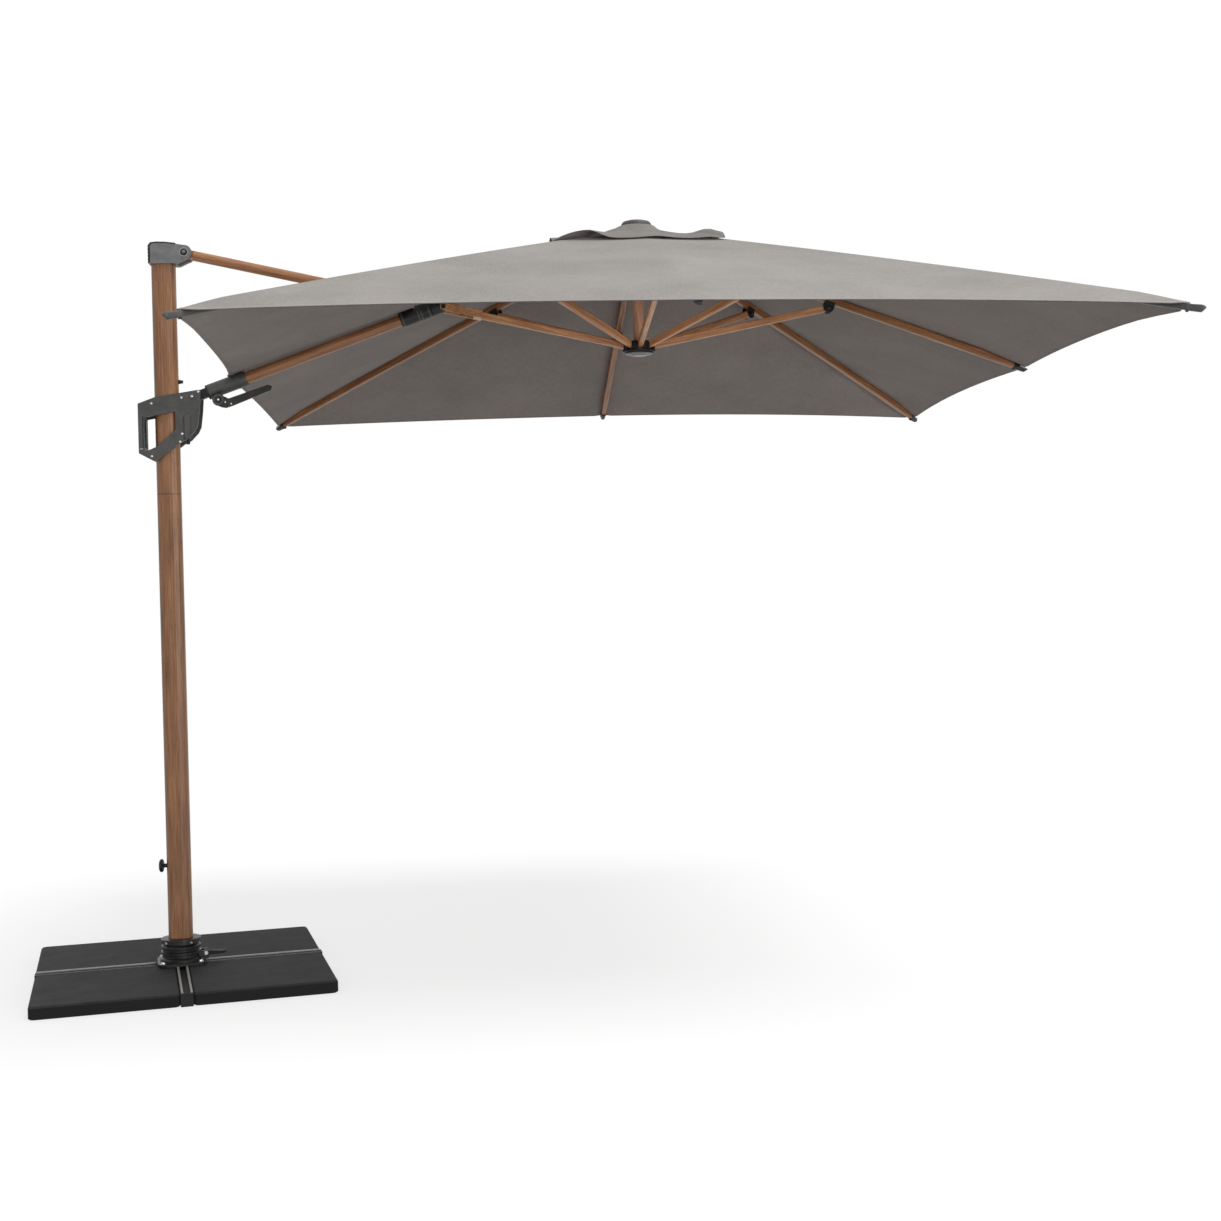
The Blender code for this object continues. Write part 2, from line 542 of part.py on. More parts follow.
def box_tube(path, section, tip=None):
    """An open tube of rounded section along a path in the XZ plane.
    Its far end narrows to the tip's section, if that is given, with the lower side kept straight."""
    path = [Vector(point) for point in path]
    side = Vector((0, 1, 0))
    sections = [section] * (len(path) - 1) + [tip or section]
    skins = []
    for wall in (0.0, SECTION_WALL):
        rings = []
        for index, point in enumerate(path):
            ahead = path[min(index + 1, len(path) - 1)] - path[max(index - 1, 0)]
            lift = ahead.normalized().cross(side)
            here = sections[index]
            rise = (here[1] - section[1]) / 2
            outline = rounded(*shrunk(here, wall), 2)
            rings.append([point + a * side + (b + rise) * lift for a, b in outline])
        skins.append(rings)
    return loft(*skins)


def radial_slots(low, high, width, inner):
    """Eight cutters, one for each rib."""
    made = []
    for index in range(8):
        slot = block((inner, -width / 2, low), (0.2, width / 2, high))
        slot.transform(Matrix.Translation((HUB_X, 0, 0)) @ Matrix.Rotation(math.tau * index / 8, 4, "Z"))
        made.append(slot)
    return made


def make_hubs():
    axis = (HUB_X, 0, 0)
    hub = [(0.062, HUB_BOTTOM), (0.066, HUB_BOTTOM + 0.006), (0.068, HUB_TOP - 0.006), (0.060, HUB_TOP)]
    slots = radial_slots(HUB_BOTTOM - 1, HUB_TOP - HUB_PLATE, HUB_SLOT, 0.019)
    add("upper_hub", cut(turned(hub, 32, axis), *slots), BLACK, origin=(HUB_X, 0, HINGE_Z))
    low, high = LOW_HUB_FLOOR + FIT, HUB_BOTTOM - FIT
    inner = POST_RADIUS - 0.003
    post = [(inner, low), (POST_RADIUS, low), (POST_RADIUS, high), (inner, high)]
    add("centre_post", turned(post, 20, axis, ring=True), WOOD_LOOK, origin=(HUB_X, 0, HINGE_Z))
    seat = HUB_TOP + FABRIC + 3 * FIT
    dome = [(0.050, 0), (0.056, 0.003), (0.057, 0.010), (0.052, 0.018), (0.040, 0.0215), (0.015, 0.022)]
    knob = turned([(radius, seat + rise) for radius, rise in dome], 24, axis)
    add("finial", knob, CHARCOAL, origin=(HUB_X, 0, HINGE_Z))

    spot = (HUB_X, 0, LOW_HINGE[1])
    floor, top = LOW_HUB_FLOOR, LOW_HUB_FLOOR + 0.0018
    hub = turned([(0.055, LOW_HUB_BASE), (0.062, floor - 0.005), (0.062, floor), (0.059, top)], 32, axis)
    well = turned([(0.032, floor), (0.032, top + 1)], 24, axis)
    slots = radial_slots(floor, top + 1, STRUT_SECTION[0] + 0.0025, 0.02)
    add("lower_hub", cut(hub, well, *slots), BLACK, origin=spot)
    low = LOW_HUB_BASE - FIT
    cap = [(0.030, low - 0.007), (0.046, low - 0.006), (0.054, low - 0.003), (0.054, low)]
    add("lower_hub_cap", turned(cap, 24, axis), CAP_GREY, origin=spot)


def middle_drop(reach):
    """Height of a middle rib's centre line, from its hinge."""
    return -reach * math.tan(MIDDLE_SLOPE)


def corner_drop(reach):
    """Height of a corner rib's centre line: a little bowed, steeper towards its tip."""
    at_joint, at_tip = CORNER_JOINT[1] / CORNER_JOINT[0], CORNER_TIP[1] / CORNER_TIP[0]
    bow = (at_joint - at_tip) / (CORNER_JOINT[0] - CORNER_TIP[0])
    return -reach * (at_tip + bow * (reach - CORNER_TIP[0]))


def make_ribs():
    """Seven ribs on the upper hub, each with its strut. The arm is the eighth."""
    for name, eighth in RIBS.items():
        corner = eighth % 2
        drop = corner_drop if corner else middle_drop
        turn = math.tau * eighth / 8
        out = Vector((math.cos(turn), math.sin(turn), 0))
        hinge = Vector((HUB_X, 0, HINGE_Z)) + HINGE_RADIUS * out
        reach = CORNER_TIP[0] if corner else CANOPY_HALF - HINGE_RADIUS
        count = 7 if corner else 1
        straight = reach - RIB_TAPER
        runs = [-END_OVERRUN] + [straight * (step + 1) / count for step in range(count)] + [reach]
        tube = box_tube([(run, 0, drop(run)) for run in runs], RIB_SECTION, RIB_END)
        slope = math.atan2(drop(RIB_JOINT + 0.01) - drop(RIB_JOINT - 0.01), 0.02)
        rib = Bar((RIB_JOINT, drop(RIB_JOINT)), slope)
        lug = [(-0.012, -0.013), (-0.009, -LUG_DROP)] + arc((0, -LUG_DROP), 0.009, 200, 340, 4)
        lug += [(0.009, -LUG_DROP), (0.012, -0.013)]
        tube = join(tube, rib.plate(lug, -0.0035, 0.0035))
        add("rib_" + name, tube, WOOD_LOOK, origin=hinge, turn=turn, local=True)

        joint = rib.at(0, -LUG_DROP)
        foot = (0, HINGE_DROP)
        strut, length = Bar((0, 0), direction(joint, foot)), distance(joint, foot)
        ends = [strut.at(-END_OVERRUN), strut.at(length + END_OVERRUN)]
        tube = box_tube([(x, 0, z) for x, z in ends], STRUT_SECTION)
        slot = [(-0.03, -0.03), (0.018, -0.03), (0.018, 0.03), (-0.03, 0.03)]
        tube = cut(tube, strut.plate(slot, -0.0045, 0.0045))
        spot = hinge + joint[0] * out + Vector((0, 0, joint[1]))
        add("strut_" + name, tube, WOOD_LOOK, origin=spot, turn=turn, local=True)


def arm_drop(reach):
    """Height of the arm's centre line under the left of the canopy, from its hinge."""
    return -reach * math.tan(ARM_ANGLE)


def seam(eighth, share):
    """Point of the fabric over a rib, about the hub axis: share 0 at the opening, 1 at its edge."""
    corner = eighth % 2
    start = OPENING_CORNER if corner else OPENING_MIDDLE
    end = math.sqrt(2) * CANOPY_HALF - CORNER_BARE if corner else CANOPY_HALF - MIDDLE_BARE
    radius = start + (end - start) * share
    drop = corner_drop if corner else arm_drop if eighth == 4 else middle_drop
    lift = FABRIC_LIFT_ARM if eighth == 4 else FABRIC_LIFT
    turn = math.tau * eighth / 8
    height = drop(radius - HINGE_RADIUS) + lift
    return Vector((radius * math.cos(turn), radius * math.sin(turn), height))


def make_canopy():
    """The main sheet: eight gores with hollow outer edges, open at the top and slit at the crossing."""
    rows, columns = 7, 5
    grid = []
    for row in range(rows + 1):
        ring = []
        for gore in range(8):
            for column in range(columns):
                across_share = column / columns
                hollow = 1 - EDGE_HOLLOW * 4 * across_share * (1 - across_share)
                share = row / rows * hollow
                ring.append(seam(gore, share).lerp(seam((gore + 1) % 8, share), across_share))
        grid.append(ring)
    up = Vector((0, 0, FABRIC))
    sheet = loft(grid + [[point + up for point in ring] for ring in reversed(grid)], looped=True)
    hub = Vector((HUB_X, 0, HINGE_Z))
    sheet.transform(Matrix.Translation(hub))
    slit = Bar(CROSSING, ARM_ANGLE)
    slit = slit.plate([(-0.16, -0.02), (-0.025, -0.02), (-0.025, 0.12), (-0.16, 0.12)], -0.040, 0.040)
    add("canopy", cut(sheet, slit), CLOTH, origin=hub)


def make_flap():
    """The small wavy square over the opening, held under the finial."""
    count, seat = 48, HUB_TOP + FIT - HINGE_Z
    grid = []
    for reach in (0.03, FLAP_FLAT, 0.14, 0.21, 0.27, FLAP_HALF):
        share = max(reach - FLAP_FLAT, 0) / (FLAP_HALF - FLAP_FLAT)
        ring = []
        for step in range(count):
            turn = math.tau * step / count
            radius = reach / max(abs(math.cos(turn)), abs(math.sin(turn)))
            wave = FLAP_WAVE * share**3 * math.sin(8 * turn + 0.6)
            height = seat - FLAP_HEM_DROP * share + wave
            ring.append(Vector((radius * math.cos(turn), radius * math.sin(turn), height)))
        grid.append(ring)
    up = Vector((0, 0, FABRIC))
    flap = loft(grid + [[point + up for point in ring] for ring in reversed(grid)], looped=True)
    hub = Vector((HUB_X, 0, HINGE_Z))
    flap.transform(Matrix.Translation(hub))
    add("vent_flap", flap, CLOTH, origin=hub)


make_base()
make_mast()
make_slider()
make_rod()
make_boom()
make_arm()
make_hubs()
make_ribs()
make_canopy()
make_flap()
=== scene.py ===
"""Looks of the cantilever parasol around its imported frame. Metres, +Z up, the mast over the origin."""

import json
import math

import bmesh
import bpy
from mathutils import Matrix, Vector, noise


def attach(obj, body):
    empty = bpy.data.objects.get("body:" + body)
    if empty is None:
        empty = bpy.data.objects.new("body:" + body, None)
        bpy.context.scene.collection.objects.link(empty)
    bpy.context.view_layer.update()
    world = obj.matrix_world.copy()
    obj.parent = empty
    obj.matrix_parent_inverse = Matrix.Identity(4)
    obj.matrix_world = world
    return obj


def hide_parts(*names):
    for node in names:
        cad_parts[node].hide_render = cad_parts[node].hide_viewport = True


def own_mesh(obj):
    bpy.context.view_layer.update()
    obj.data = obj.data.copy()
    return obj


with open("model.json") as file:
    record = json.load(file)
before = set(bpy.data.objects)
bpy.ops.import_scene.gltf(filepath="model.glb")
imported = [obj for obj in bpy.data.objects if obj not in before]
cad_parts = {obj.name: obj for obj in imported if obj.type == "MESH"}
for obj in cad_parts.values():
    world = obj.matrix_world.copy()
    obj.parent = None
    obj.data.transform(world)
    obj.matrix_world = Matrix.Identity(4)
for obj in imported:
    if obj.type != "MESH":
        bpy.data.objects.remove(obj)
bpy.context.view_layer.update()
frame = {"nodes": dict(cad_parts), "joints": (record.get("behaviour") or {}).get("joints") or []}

NODES = frame["nodes"]
JOINTS = {joint["name"]: joint for joint in frame["joints"]}

# The photograph's camera.
IMAGE_SIDE = 1221
FOCAL_PIXELS = 1641.3
CAMERA_PLACE = Vector((1.013, -6.1635, 1.3517))
CAMERA_YAW, CAMERA_PITCH, CAMERA_ROLL = (math.radians(angle) for angle in (-5.605, -0.459, -1.374))
SENSOR = 36.0

# Light: what the world and the floor give to the object, and what the camera sees of them.
WORLD_LEVEL = 0.40
SUN_LEVEL = 1.6
SUN_FROM = Vector((0.5, -0.3, 1.0))
SUN_SPREAD = math.radians(28)
FILL_WATTS = 320
FILL_PLACE, FILL_AIM, FILL_SIZE = Vector((4.5, -8.5, 1.8)), Vector((1.2, 0, 1.7)), (5.0, 3.0)
FLOOR_SHADE, FLOOR_WHITE = 0.36, 1.07
FLOOR_RADIUS = 60

# Places of the frame.
BASE_YAW = math.radians(11)
HUB_X = 1.75
HINGE_RADIUS = 0.05
HUB = Vector((HUB_X, 0, JOINTS["rib_right_pivot"]["pos_m"][2]))
LOW_HUB = Vector((HUB_X, 0, JOINTS["runner_pivot"]["pos_m"][2]))
ARM_ANGLE = math.atan2(JOINTS["tilt"]["axis"][2], JOINTS["tilt"]["axis"][0])
CROSSING_ALONG = 0.96
MAST_JOINT = 1.7685
PLATE_TOP = 0.0573
RIB_JOINT = 0.690
LUG_DROP = 0.030
RIB_SECTION, RIB_END, RIB_TAPER = (0.024, 0.028), (0.016, 0.015), 0.18
FRONT = Vector((0, -1, 0))

# The eight ribs, going round from the right. The arm stands in for the left one, and gore n of the cloth
# lies between rib n and the next.
EIGHTHS = ["right", "far_right", "far", "far_left", "left", "near_left", "near", "near_right"]
LEFT, NEAR = EIGHTHS.index("left"), EIGHTHS.index("near")

# Canopy, as the frame has it. A corner rib is bowed: these are its reach and drop at the strut and the tip.
CANOPY_HALF = 1.5
MIDDLE_SLOPE = math.radians(19.3)
CORNER_JOINT = (0.701, 0.1745)
CORNER_TIP = (math.sqrt(2) * CANOPY_HALF - HINGE_RADIUS, 0.5390)
OPENING_MIDDLE, OPENING_CORNER = 0.24, 0.30

# Cloth: its height over the ribs and the arm, its thickness, how much of each rib's end it leaves bare and
# how far each gore's edge is hollowed. A skirt hangs down along the edge, and pockets, listed by rib and
# gore, beside two corners.
FABRIC_LIFT, FABRIC_LIFT_ARM = 0.0175, 0.033
FABRIC = 0.002
BARE_ENDS = (0.001, 0.011, 0.006, 0.006, -0.030, 0.036, -0.012, 0.036)
EDGE_HOLLOWS = (0.021, 0.016, 0.006, 0.006, 0.011, 0.018, 0.018, 0.019)
SAG = 0.010
UNEVEN, UNEVEN_PITCH = 0.004, 2.3
SKIRT, SKIRT_REACH = 0.003, 0.07
LAP_START, LAP_WIDTH = 0.013, 0.024
POCKET, POCKET_WIDTH, POCKET_REACH = 0.014, 0.16, 0.10
POCKETS = ((5, 4), (7, 7))
ARM_GORES = (3, 4)
HEM_WIDTH = 0.025

# Vent flap: half its side, its stretch to the left and right, and its flat middle under the finial.
FLAP_HALF = 0.312
FLAP_LEFT, FLAP_RIGHT = 1.09, 0.915
FLAP_FLAT, FLAP_SEAT = 0.070, 0.0365
FLAP_FABRIC = 0.0016
FLAP_UNEVEN, FLAP_UNEVEN_PITCH = 0.004, 9
FLAP_FOLD, FLAP_FOLD_PLACE, FLAP_FOLD_WIDTH = 0.006, 0.17, 0.12
PUFF, PUFF_TURN, PUFF_PLACE, PUFF_SIZE = 0.022, math.radians(322), 0.75, (0.20, 0.22)

# Free edge of the flap: how far it stands off the canopy, in places along each side from -1 to 1.
FLAP_CLEAR = 0.006
BELLY, BELLY_PLACE, BELLY_WIDTHS = 0.030, -0.62, (0.30, 0.16)
RIPPLES = ((0.006, 0.14, 0.18), (0.004, 0.80, 0.12))
CORNER_WIDTH = 0.10

# Wood print, from its flecks to its palest streaks, and the mast's dark joint line and painted shade down
# its left side.
WOOD_SHADES = ((86, 52, 31), (106, 68, 41), (143, 97, 62), (172, 124, 84))
MAST_JOINT_AND_PAINTED_SHADE = (24, 18, 14)
MAST_JOINT_HALF = 0.0014
MAST_PAINTED_SHADE_SIDE = (-0.0405, -0.0385)

# Channel beams go from groove to lip between these heights. Weave and stitches of the canvas.
BEAM_LIP = (0.0425, 0.0455)
WEAVE_SCALE = 262.0
STITCH_ROWS, STITCH_HALF = (0.005, 0.020), 0.0011
STITCH_LENGTH, STITCH_GAP = 0.0052, 0.28

# Places of a sheet's looks, and the angle above which the edges of a fitting are sharp.
TOP, UNDER, HEM, HEM_UNDER = range(4)
SHARP_ANGLE = 40


def linear(*shades):
    """Linear colour of sRGB shades from 0 to 255."""
    return tuple((s / 255 / 12.92) if s < 11 else ((s / 255 + 0.055) / 1.055) ** 2.4 for s in shades)


class Look:
    """A node material, with short ways to wire it."""

    def __init__(self, name, **shader):
        self.material = bpy.data.materials.new(name)
        self.material.use_nodes = True
        self.tree = self.material.node_tree
        self.shader = self.tree.nodes["Principled BSDF"]
        for key, value in shader.items():
            self.put(self.shader, key.replace("_", " "), value)

    def put(self, node, key, value):
        if isinstance(value, bpy.types.NodeSocket):
            self.tree.links.new(value, node.inputs[key])
        else:
            node.inputs[key].default_value = value

    def add(self, kind, settings=None, **inputs):
        node = self.tree.nodes.new("ShaderNode" + kind)
        for key, value in (settings or {}).items():
            setattr(node, key, value)
        for key, value in inputs.items():
            self.put(node, key.replace("_", " "), value)
        return node

    def place(self, kind="Object"):
        return self.add("TexCoord").outputs[kind]

    def moved(self, vector, scale=(1, 1, 1), turn=(0, 0, 0), shift=(0, 0, 0)):
        return self.add("Mapping", Vector=vector, Scale=scale, Rotation=turn, Location=shift).outputs[0]

    def noise(self, vector, scale, detail=3.0, rough=0.55):
        node = self.add("TexNoise", Vector=vector, Scale=scale, Detail=detail, Roughness=rough)
        return node.outputs["Fac"]

    def math(self, operation, first, second=0.0, third=0.0):
        node = self.add("Math", {"operation": operation})
        for index, value in enumerate((first, second, third)):
            self.put(node, index, value)
        return node.outputs[0]

    def axis(self, vector, index):
        return self.add("SeparateXYZ", Vector=vector).outputs[index]

    def span(self, value, low, high, first=0.0, last=1.0):
        node = self.add("MapRange", {"clamp": True}, Value=value)
        for key, number in (("From Min", low), ("From Max", high), ("To Min", first), ("To Max", last)):
            self.put(node, key, number)
        return node.outputs[0]

    def ramp(self, factor, *stops):
        node = self.add("ValToRGB", Fac=factor)
        elements = node.color_ramp.elements
        while len(elements) < len(stops):
            elements.new(0.5)
        for element, (position, colour) in zip(elements, stops):
            element.position = position
            element.color = (*colour, 1)
        return node.outputs["Color"]

    def mix(self, factor, first, second, blend="MIX"):
        """Mix of two colours, which are sockets 6 and 7 of the node."""
        node = self.add("Mix", {"data_type": "RGBA", "blend_type": blend})
        for index, value in ((0, factor), (6, first), (7, second)):
            self.put(node, index, (*value, 1) if isinstance(value, tuple) else value)
        return node.outputs[2]

    def colour(self, value):
        self.put(self.shader, "Base Color", value)

    def rough(self, value, low, high):
        """Roughness from low to high, over the range in which noise mostly stays."""
        self.put(self.shader, "Roughness", self.span(value, 0.3, 0.7, low, high))

    def bump(self, height, strength, depth):
        node = self.add("Bump", Height=height, Strength=strength, Distance=depth)
        self.put(self.shader, "Normal", node.outputs["Normal"])


def wood_look(name, axis, level=1.0, pale=0.0, shine=0.5, mast=False):
    """Printed wood grain on a metal tube: streaks along the axis, darker flecks and slow changes of tone.
    The mast has a dark joint line, and painted shade darkens its left side."""
    look = Look(name, Specular_IOR_Level=shine)
    aim = Vector(axis).normalized().rotation_difference(Vector((0, 0, 1))).to_euler()
    place = look.place()
    along = look.moved(place, turn=aim)
    streaks = look.noise(look.moved(along, (1, 1, 0.035)), 190, 4)
    flecks = look.noise(look.moved(along, (1, 1, 0.10), shift=(3, 1, 2)), 330, 2)
    bands = look.noise(look.moved(along, (1, 1, 0.10), shift=(7, 5, 1)), 26, 2)
    tone = look.math("MULTIPLY_ADD", streaks, 0.62, look.math("MULTIPLY", bands, 0.38))
    # Level and pale brighten the print's shades as painted light.
    shades = [tuple(min(level * value + pale, 0.95) for value in linear(*shade)) for shade in WOOD_SHADES]
    colour = look.ramp(tone, (0.34, shades[1]), (0.50, shades[2]), (0.66, shades[3]))
    dark = look.span(flecks, 0.60, 0.74, 0.0, 0.55)
    colour = look.mix(dark, colour, shades[0])
    if mast:
        joint = look.math("COMPARE", look.axis(place, 2), MAST_JOINT, MAST_JOINT_HALF)
        # Painted shade: the mast's left side, turned away from the light, is darkened.
        painted_shade_side = look.span(look.axis(place, 0), *MAST_PAINTED_SHADE_SIDE, 1.0, 0.0)
        lines = look.math("MULTIPLY", look.math("MAXIMUM", joint, painted_shade_side), 0.85)
        colour = look.mix(lines, colour, linear(*MAST_JOINT_AND_PAINTED_SHADE))
    look.colour(colour)
    look.rough(streaks, 0.42, 0.30)
    look.bump(streaks, 0.12, 0.0008)
    return look.material


def moulded(name, shade, low=0.42, high=0.6, grain=900, depth=0.00025, shine=0.4):
    """Moulded plastic or painted casting with a fine spark-eroded grain and faint handling marks."""
    look = Look(name, Specular_IOR_Level=shine)
    place = look.place()
    cloud = look.noise(place, 34, 4, 0.6)
    fine = look.noise(place, grain, 2)
    darker = tuple(0.78 * value for value in shade)
    lighter = tuple(min(1.22 * value + 0.004, 1) for value in shade)
    look.colour(look.ramp(cloud, (0.30, darker), (0.52, shade), (0.74, lighter)))
    look.rough(cloud, low, high)
    look.bump(fine, 0.25, depth)
    return look.material


def zinc(name):
    """Bright zinc-plated steel."""
    look = Look(name, Metallic=1.0)
    place = look.place()
    cloud = look.noise(place, 120, 3)
    look.colour(look.ramp(cloud, (0.3, linear(150, 149, 146)), (0.7, linear(205, 205, 203))))
    look.rough(cloud, 0.24, 0.42)
    look.bump(look.noise(place, 700, 2), 0.15, 0.0002)
    return look.material


def slab_look():
    """Charcoal slab: dull speckled top; sides darker, partly their duller cast finish and partly painted
    shade.
    """
    look = Look("slab", Specular_IOR_Level=0.12)
    place = look.place()
    cloud = look.noise(place, 9, 4, 0.6)
    speckle = look.noise(place, 420, 3, 0.7)
    base = look.ramp(cloud, (0.3, linear(55, 55, 56)), (0.7, linear(70, 70, 71)))
    grit = look.ramp(speckle, (0.36, (0.45, 0.45, 0.45)), (0.5, (1, 1, 1)))
    top = look.mix(1.0, base, grit, "MULTIPLY")
    # Faces turned away from up take the darker side colour: partly cast finish, partly painted shade.
    up = look.axis(look.add("NewGeometry").outputs["True Normal"], 2)
    look.colour(look.mix(look.span(up, 0.1, 0.9), linear(34, 34, 35), top))
    look.rough(speckle, 0.6, 0.85)
    look.bump(speckle, 0.3, 0.0006)
    return look.material


def beam_look():
    """Channel beam: light lips, partly worn bare steel and partly painted highlight, and a dark gritty
    groove.
    """
    look = Look("beam", Specular_IOR_Level=0.2)
    place = look.place()
    grit = look.noise(place, 300, 3, 0.7)
    lip = look.ramp(grit, (0.35, linear(70, 70, 69)), (0.65, linear(132, 131, 128)))
    groove = look.ramp(grit, (0.35, linear(14, 14, 14)), (0.65, linear(46, 46, 45)))
    height = look.axis(place, 2)
    # The lips' light colour is partly worn bare steel and partly a painted highlight.
    look.colour(look.mix(look.span(height, *BEAM_LIP), groove, lip))
    look.rough(grit, 0.4, 0.7)
    look.bump(grit, 0.3, 0.0005)
    return look.material


def canvas(name, shade, stitched=False):
    """Woven polyester canvas, from UVs in metres: weave, painted shade between its threads, slubs and slow
    mottling, and stitches on hems.
    """
    look = Look(name, Specular_IOR_Level=0.2, Sheen_Weight=0.12, Sheen_Roughness=0.6, Roughness=0.9)
    flat = look.place("UV")
    threads = {"Vector": flat, "Scale": WEAVE_SCALE, "Distortion": 0.6, "Detail": 1.0}
    waves = [look.add("TexWave", {"bands_direction": way}, **threads).outputs["Fac"] for way in ("X", "Y")]
    weave = look.math("MULTIPLY", *waves)
    slub = look.noise(look.moved(flat, (1, 0.18, 1)), 160, 3)
    slub_over = look.noise(look.moved(flat, (0.18, 1, 1), shift=(4, 2, 0)), 160, 3)
    mottle = look.noise(look.place(), 3.2, 3)
    tone = look.math("MULTIPLY_ADD", slub, 0.30, look.math("MULTIPLY", slub_over, 0.30))
    tone = look.math("MULTIPLY_ADD", mottle, 0.40, tone)
    darker, lighter = (tuple(share * value for value in shade) for share in (0.80, 1.20))
    colour = look.ramp(tone, (0.34, darker), (0.5, shade), (0.66, lighter))
    # Painted shade: darker in the hollows between the threads.
    weave_hollow_shade = look.ramp(weave, (0.0, (0.72, 0.72, 0.72)), (0.4, (1, 1, 1)))
    colour = look.mix(0.35, colour, weave_hollow_shade, "MULTIPLY")
    height = weave
    if stitched:
        across = look.axis(flat, 1)
        rows = [look.math("COMPARE", across, at, STITCH_HALF) for at in STITCH_ROWS]
        beat = look.math("FRACT", look.math("DIVIDE", look.axis(flat, 0), STITCH_LENGTH))
        dash = look.math("GREATER_THAN", beat, STITCH_GAP)
        thread = look.math("MULTIPLY", look.math("MAXIMUM", *rows), dash)
        dark = tuple(0.45 * value for value in shade)
        colour = look.mix(look.math("MULTIPLY", thread, 0.75), colour, dark)
        height = look.math("MULTIPLY_ADD", thread, 1.5, weave)
    look.colour(colour)
    look.bump(height, 0.3, 0.0003)
    return look.material


def make_camera():
    """The camera that the photograph was taken with, as fitted to the object."""
    yaw, pitch, roll = CAMERA_YAW, CAMERA_PITCH, CAMERA_ROLL
    ahead = Vector((-math.sin(yaw) * math.cos(pitch), math.cos(yaw) * math.cos(pitch), math.sin(pitch)))
    level = Vector((math.cos(yaw), math.sin(yaw), 0))
    upward = level.cross(ahead)
    right = math.cos(roll) * level + math.sin(roll) * upward
    up = -math.sin(roll) * level + math.cos(roll) * upward
    data = bpy.data.cameras.new("camera")
    data.sensor_width = SENSOR
    data.lens = FOCAL_PIXELS / IMAGE_SIDE * SENSOR
    data.clip_start, data.clip_end = 0.1, 200
    camera = bpy.data.objects.new("camera", data)
    turn = Matrix((right, up, -ahead)).transposed().to_4x4()
    camera.matrix_world = Matrix.Translation(CAMERA_PLACE) @ turn
    bpy.context.scene.collection.objects.link(camera)
    bpy.context.scene.camera = camera


def seen_directly(look):
    """1 for rays that show the background itself, 0 for light on the object."""
    path = look.add("LightPath").outputs
    glossy = look.math("MAXIMUM", path["Is Glossy Ray"], path["Is Transmission Ray"])
    return look.math("MAXIMUM", path["Is Camera Ray"], glossy)


def make_light():
    """A world and a floor that are seen white and light the object less, a broad sun and a soft fill."""
    scene = bpy.context.scene
    scene.view_settings.view_transform = "Standard"
    world = bpy.data.worlds.new("studio")
    world.use_nodes = True
    scene.world = world
    sky = Look.__new__(Look)
    sky.tree = world.node_tree
    background = sky.tree.nodes["Background"]
    background.inputs["Color"].default_value = (1, 1, 1, 1)
    strength = sky.math("MULTIPLY_ADD", seen_directly(sky), 1 - WORLD_LEVEL, WORLD_LEVEL)
    sky.put(background, "Strength", strength)

    lamp = bpy.data.lights.new("key", "SUN")
    lamp.energy = SUN_LEVEL
    lamp.angle = SUN_SPREAD
    sun = bpy.data.objects.new("key", lamp)
    sun.rotation_mode = "QUATERNION"
    sun.rotation_quaternion = (-SUN_FROM).to_track_quat("-Z", "Y")
    scene.collection.objects.link(sun)

    lamp = bpy.data.lights.new("fill", "AREA")
    lamp.shape = "RECTANGLE"
    lamp.size, lamp.size_y = FILL_SIZE
    lamp.energy = FILL_WATTS
    fill = bpy.data.objects.new("fill", lamp)
    fill.location = FILL_PLACE
    fill.rotation_mode = "QUATERNION"
    fill.rotation_quaternion = (FILL_AIM - FILL_PLACE).to_track_quat("-Z", "Y")
    fill.visible_camera = False
    scene.collection.objects.link(fill)

    look = Look("floor", Roughness=1.0, Specular_IOR_Level=0.0)
    cloud = look.noise(look.place(), 1.5, 2)
    look.colour(look.ramp(cloud, (0, (FLOOR_SHADE * 0.99,) * 3), (1, (FLOOR_SHADE * 1.01,) * 3)))
    look.put(look.shader, "Emission Color", (1, 1, 1, 1))
    glow = look.math("MULTIPLY", seen_directly(look), FLOOR_WHITE - FLOOR_SHADE)
    look.put(look.shader, "Emission Strength", glow)
    ground = bmesh.new()
    bmesh.ops.create_circle(ground, cap_ends=True, segments=64, radius=FLOOR_RADIUS)
    mesh = bpy.data.meshes.new("floor")
    ground.to_mesh(mesh)
    ground.free()
    mesh.materials.append(look.material)
    floor = bpy.data.objects.new("floor", mesh)
    scene.collection.objects.link(floor)


MAST_WOOD = wood_look("wood_mast", (0, 0, 1), mast=True)
# Level, paleness and shine of the print on the thinner tubes, by how their names begin.
# Level and paleness brighten the print past the mast's, as painted light on tubes in the canopy's shade.
OTHER_PAINTED_LIGHT_LEVELS = (1.3,)
LIMB_PAINTED_LIGHT_LEVELS = {"strut_": (2.4, 0.04, 0.3), "centre_post": (2.8, 0.14, 0.3), "rib_": (1.35, 0.0, 0.3)}
CHARCOAL = moulded("charcoal_casting", linear(72, 71, 70), 0.36, 0.52)
DARK = moulded("dark_casting", linear(50, 49, 47), 0.38, 0.55, shine=0.3)
BLACK = moulded("black_plastic", linear(30, 29, 29), 0.36, 0.55, shine=0.3)
GREY = moulded("grey_casting", linear(116, 115, 116), 0.38, 0.55)
PALE = moulded("pale_casting", linear(176, 174, 171), 0.38, 0.55)
FINIAL_GREY = moulded("finial_grey", linear(90, 86, 84), 0.45, 0.6)
BLACK_STEEL = moulded("black_steel", linear(26, 26, 26), 0.30, 0.5, 500, 0.0004)
RUBBER = moulded("bush_plastic", linear(22, 22, 22), 0.5, 0.7, shine=0.25)
ZINC = zinc("zinc")
SLAB = slab_look()
BEAM = beam_look()
CLOTH_TOP = canvas("canvas_top", linear(164, 159, 154))
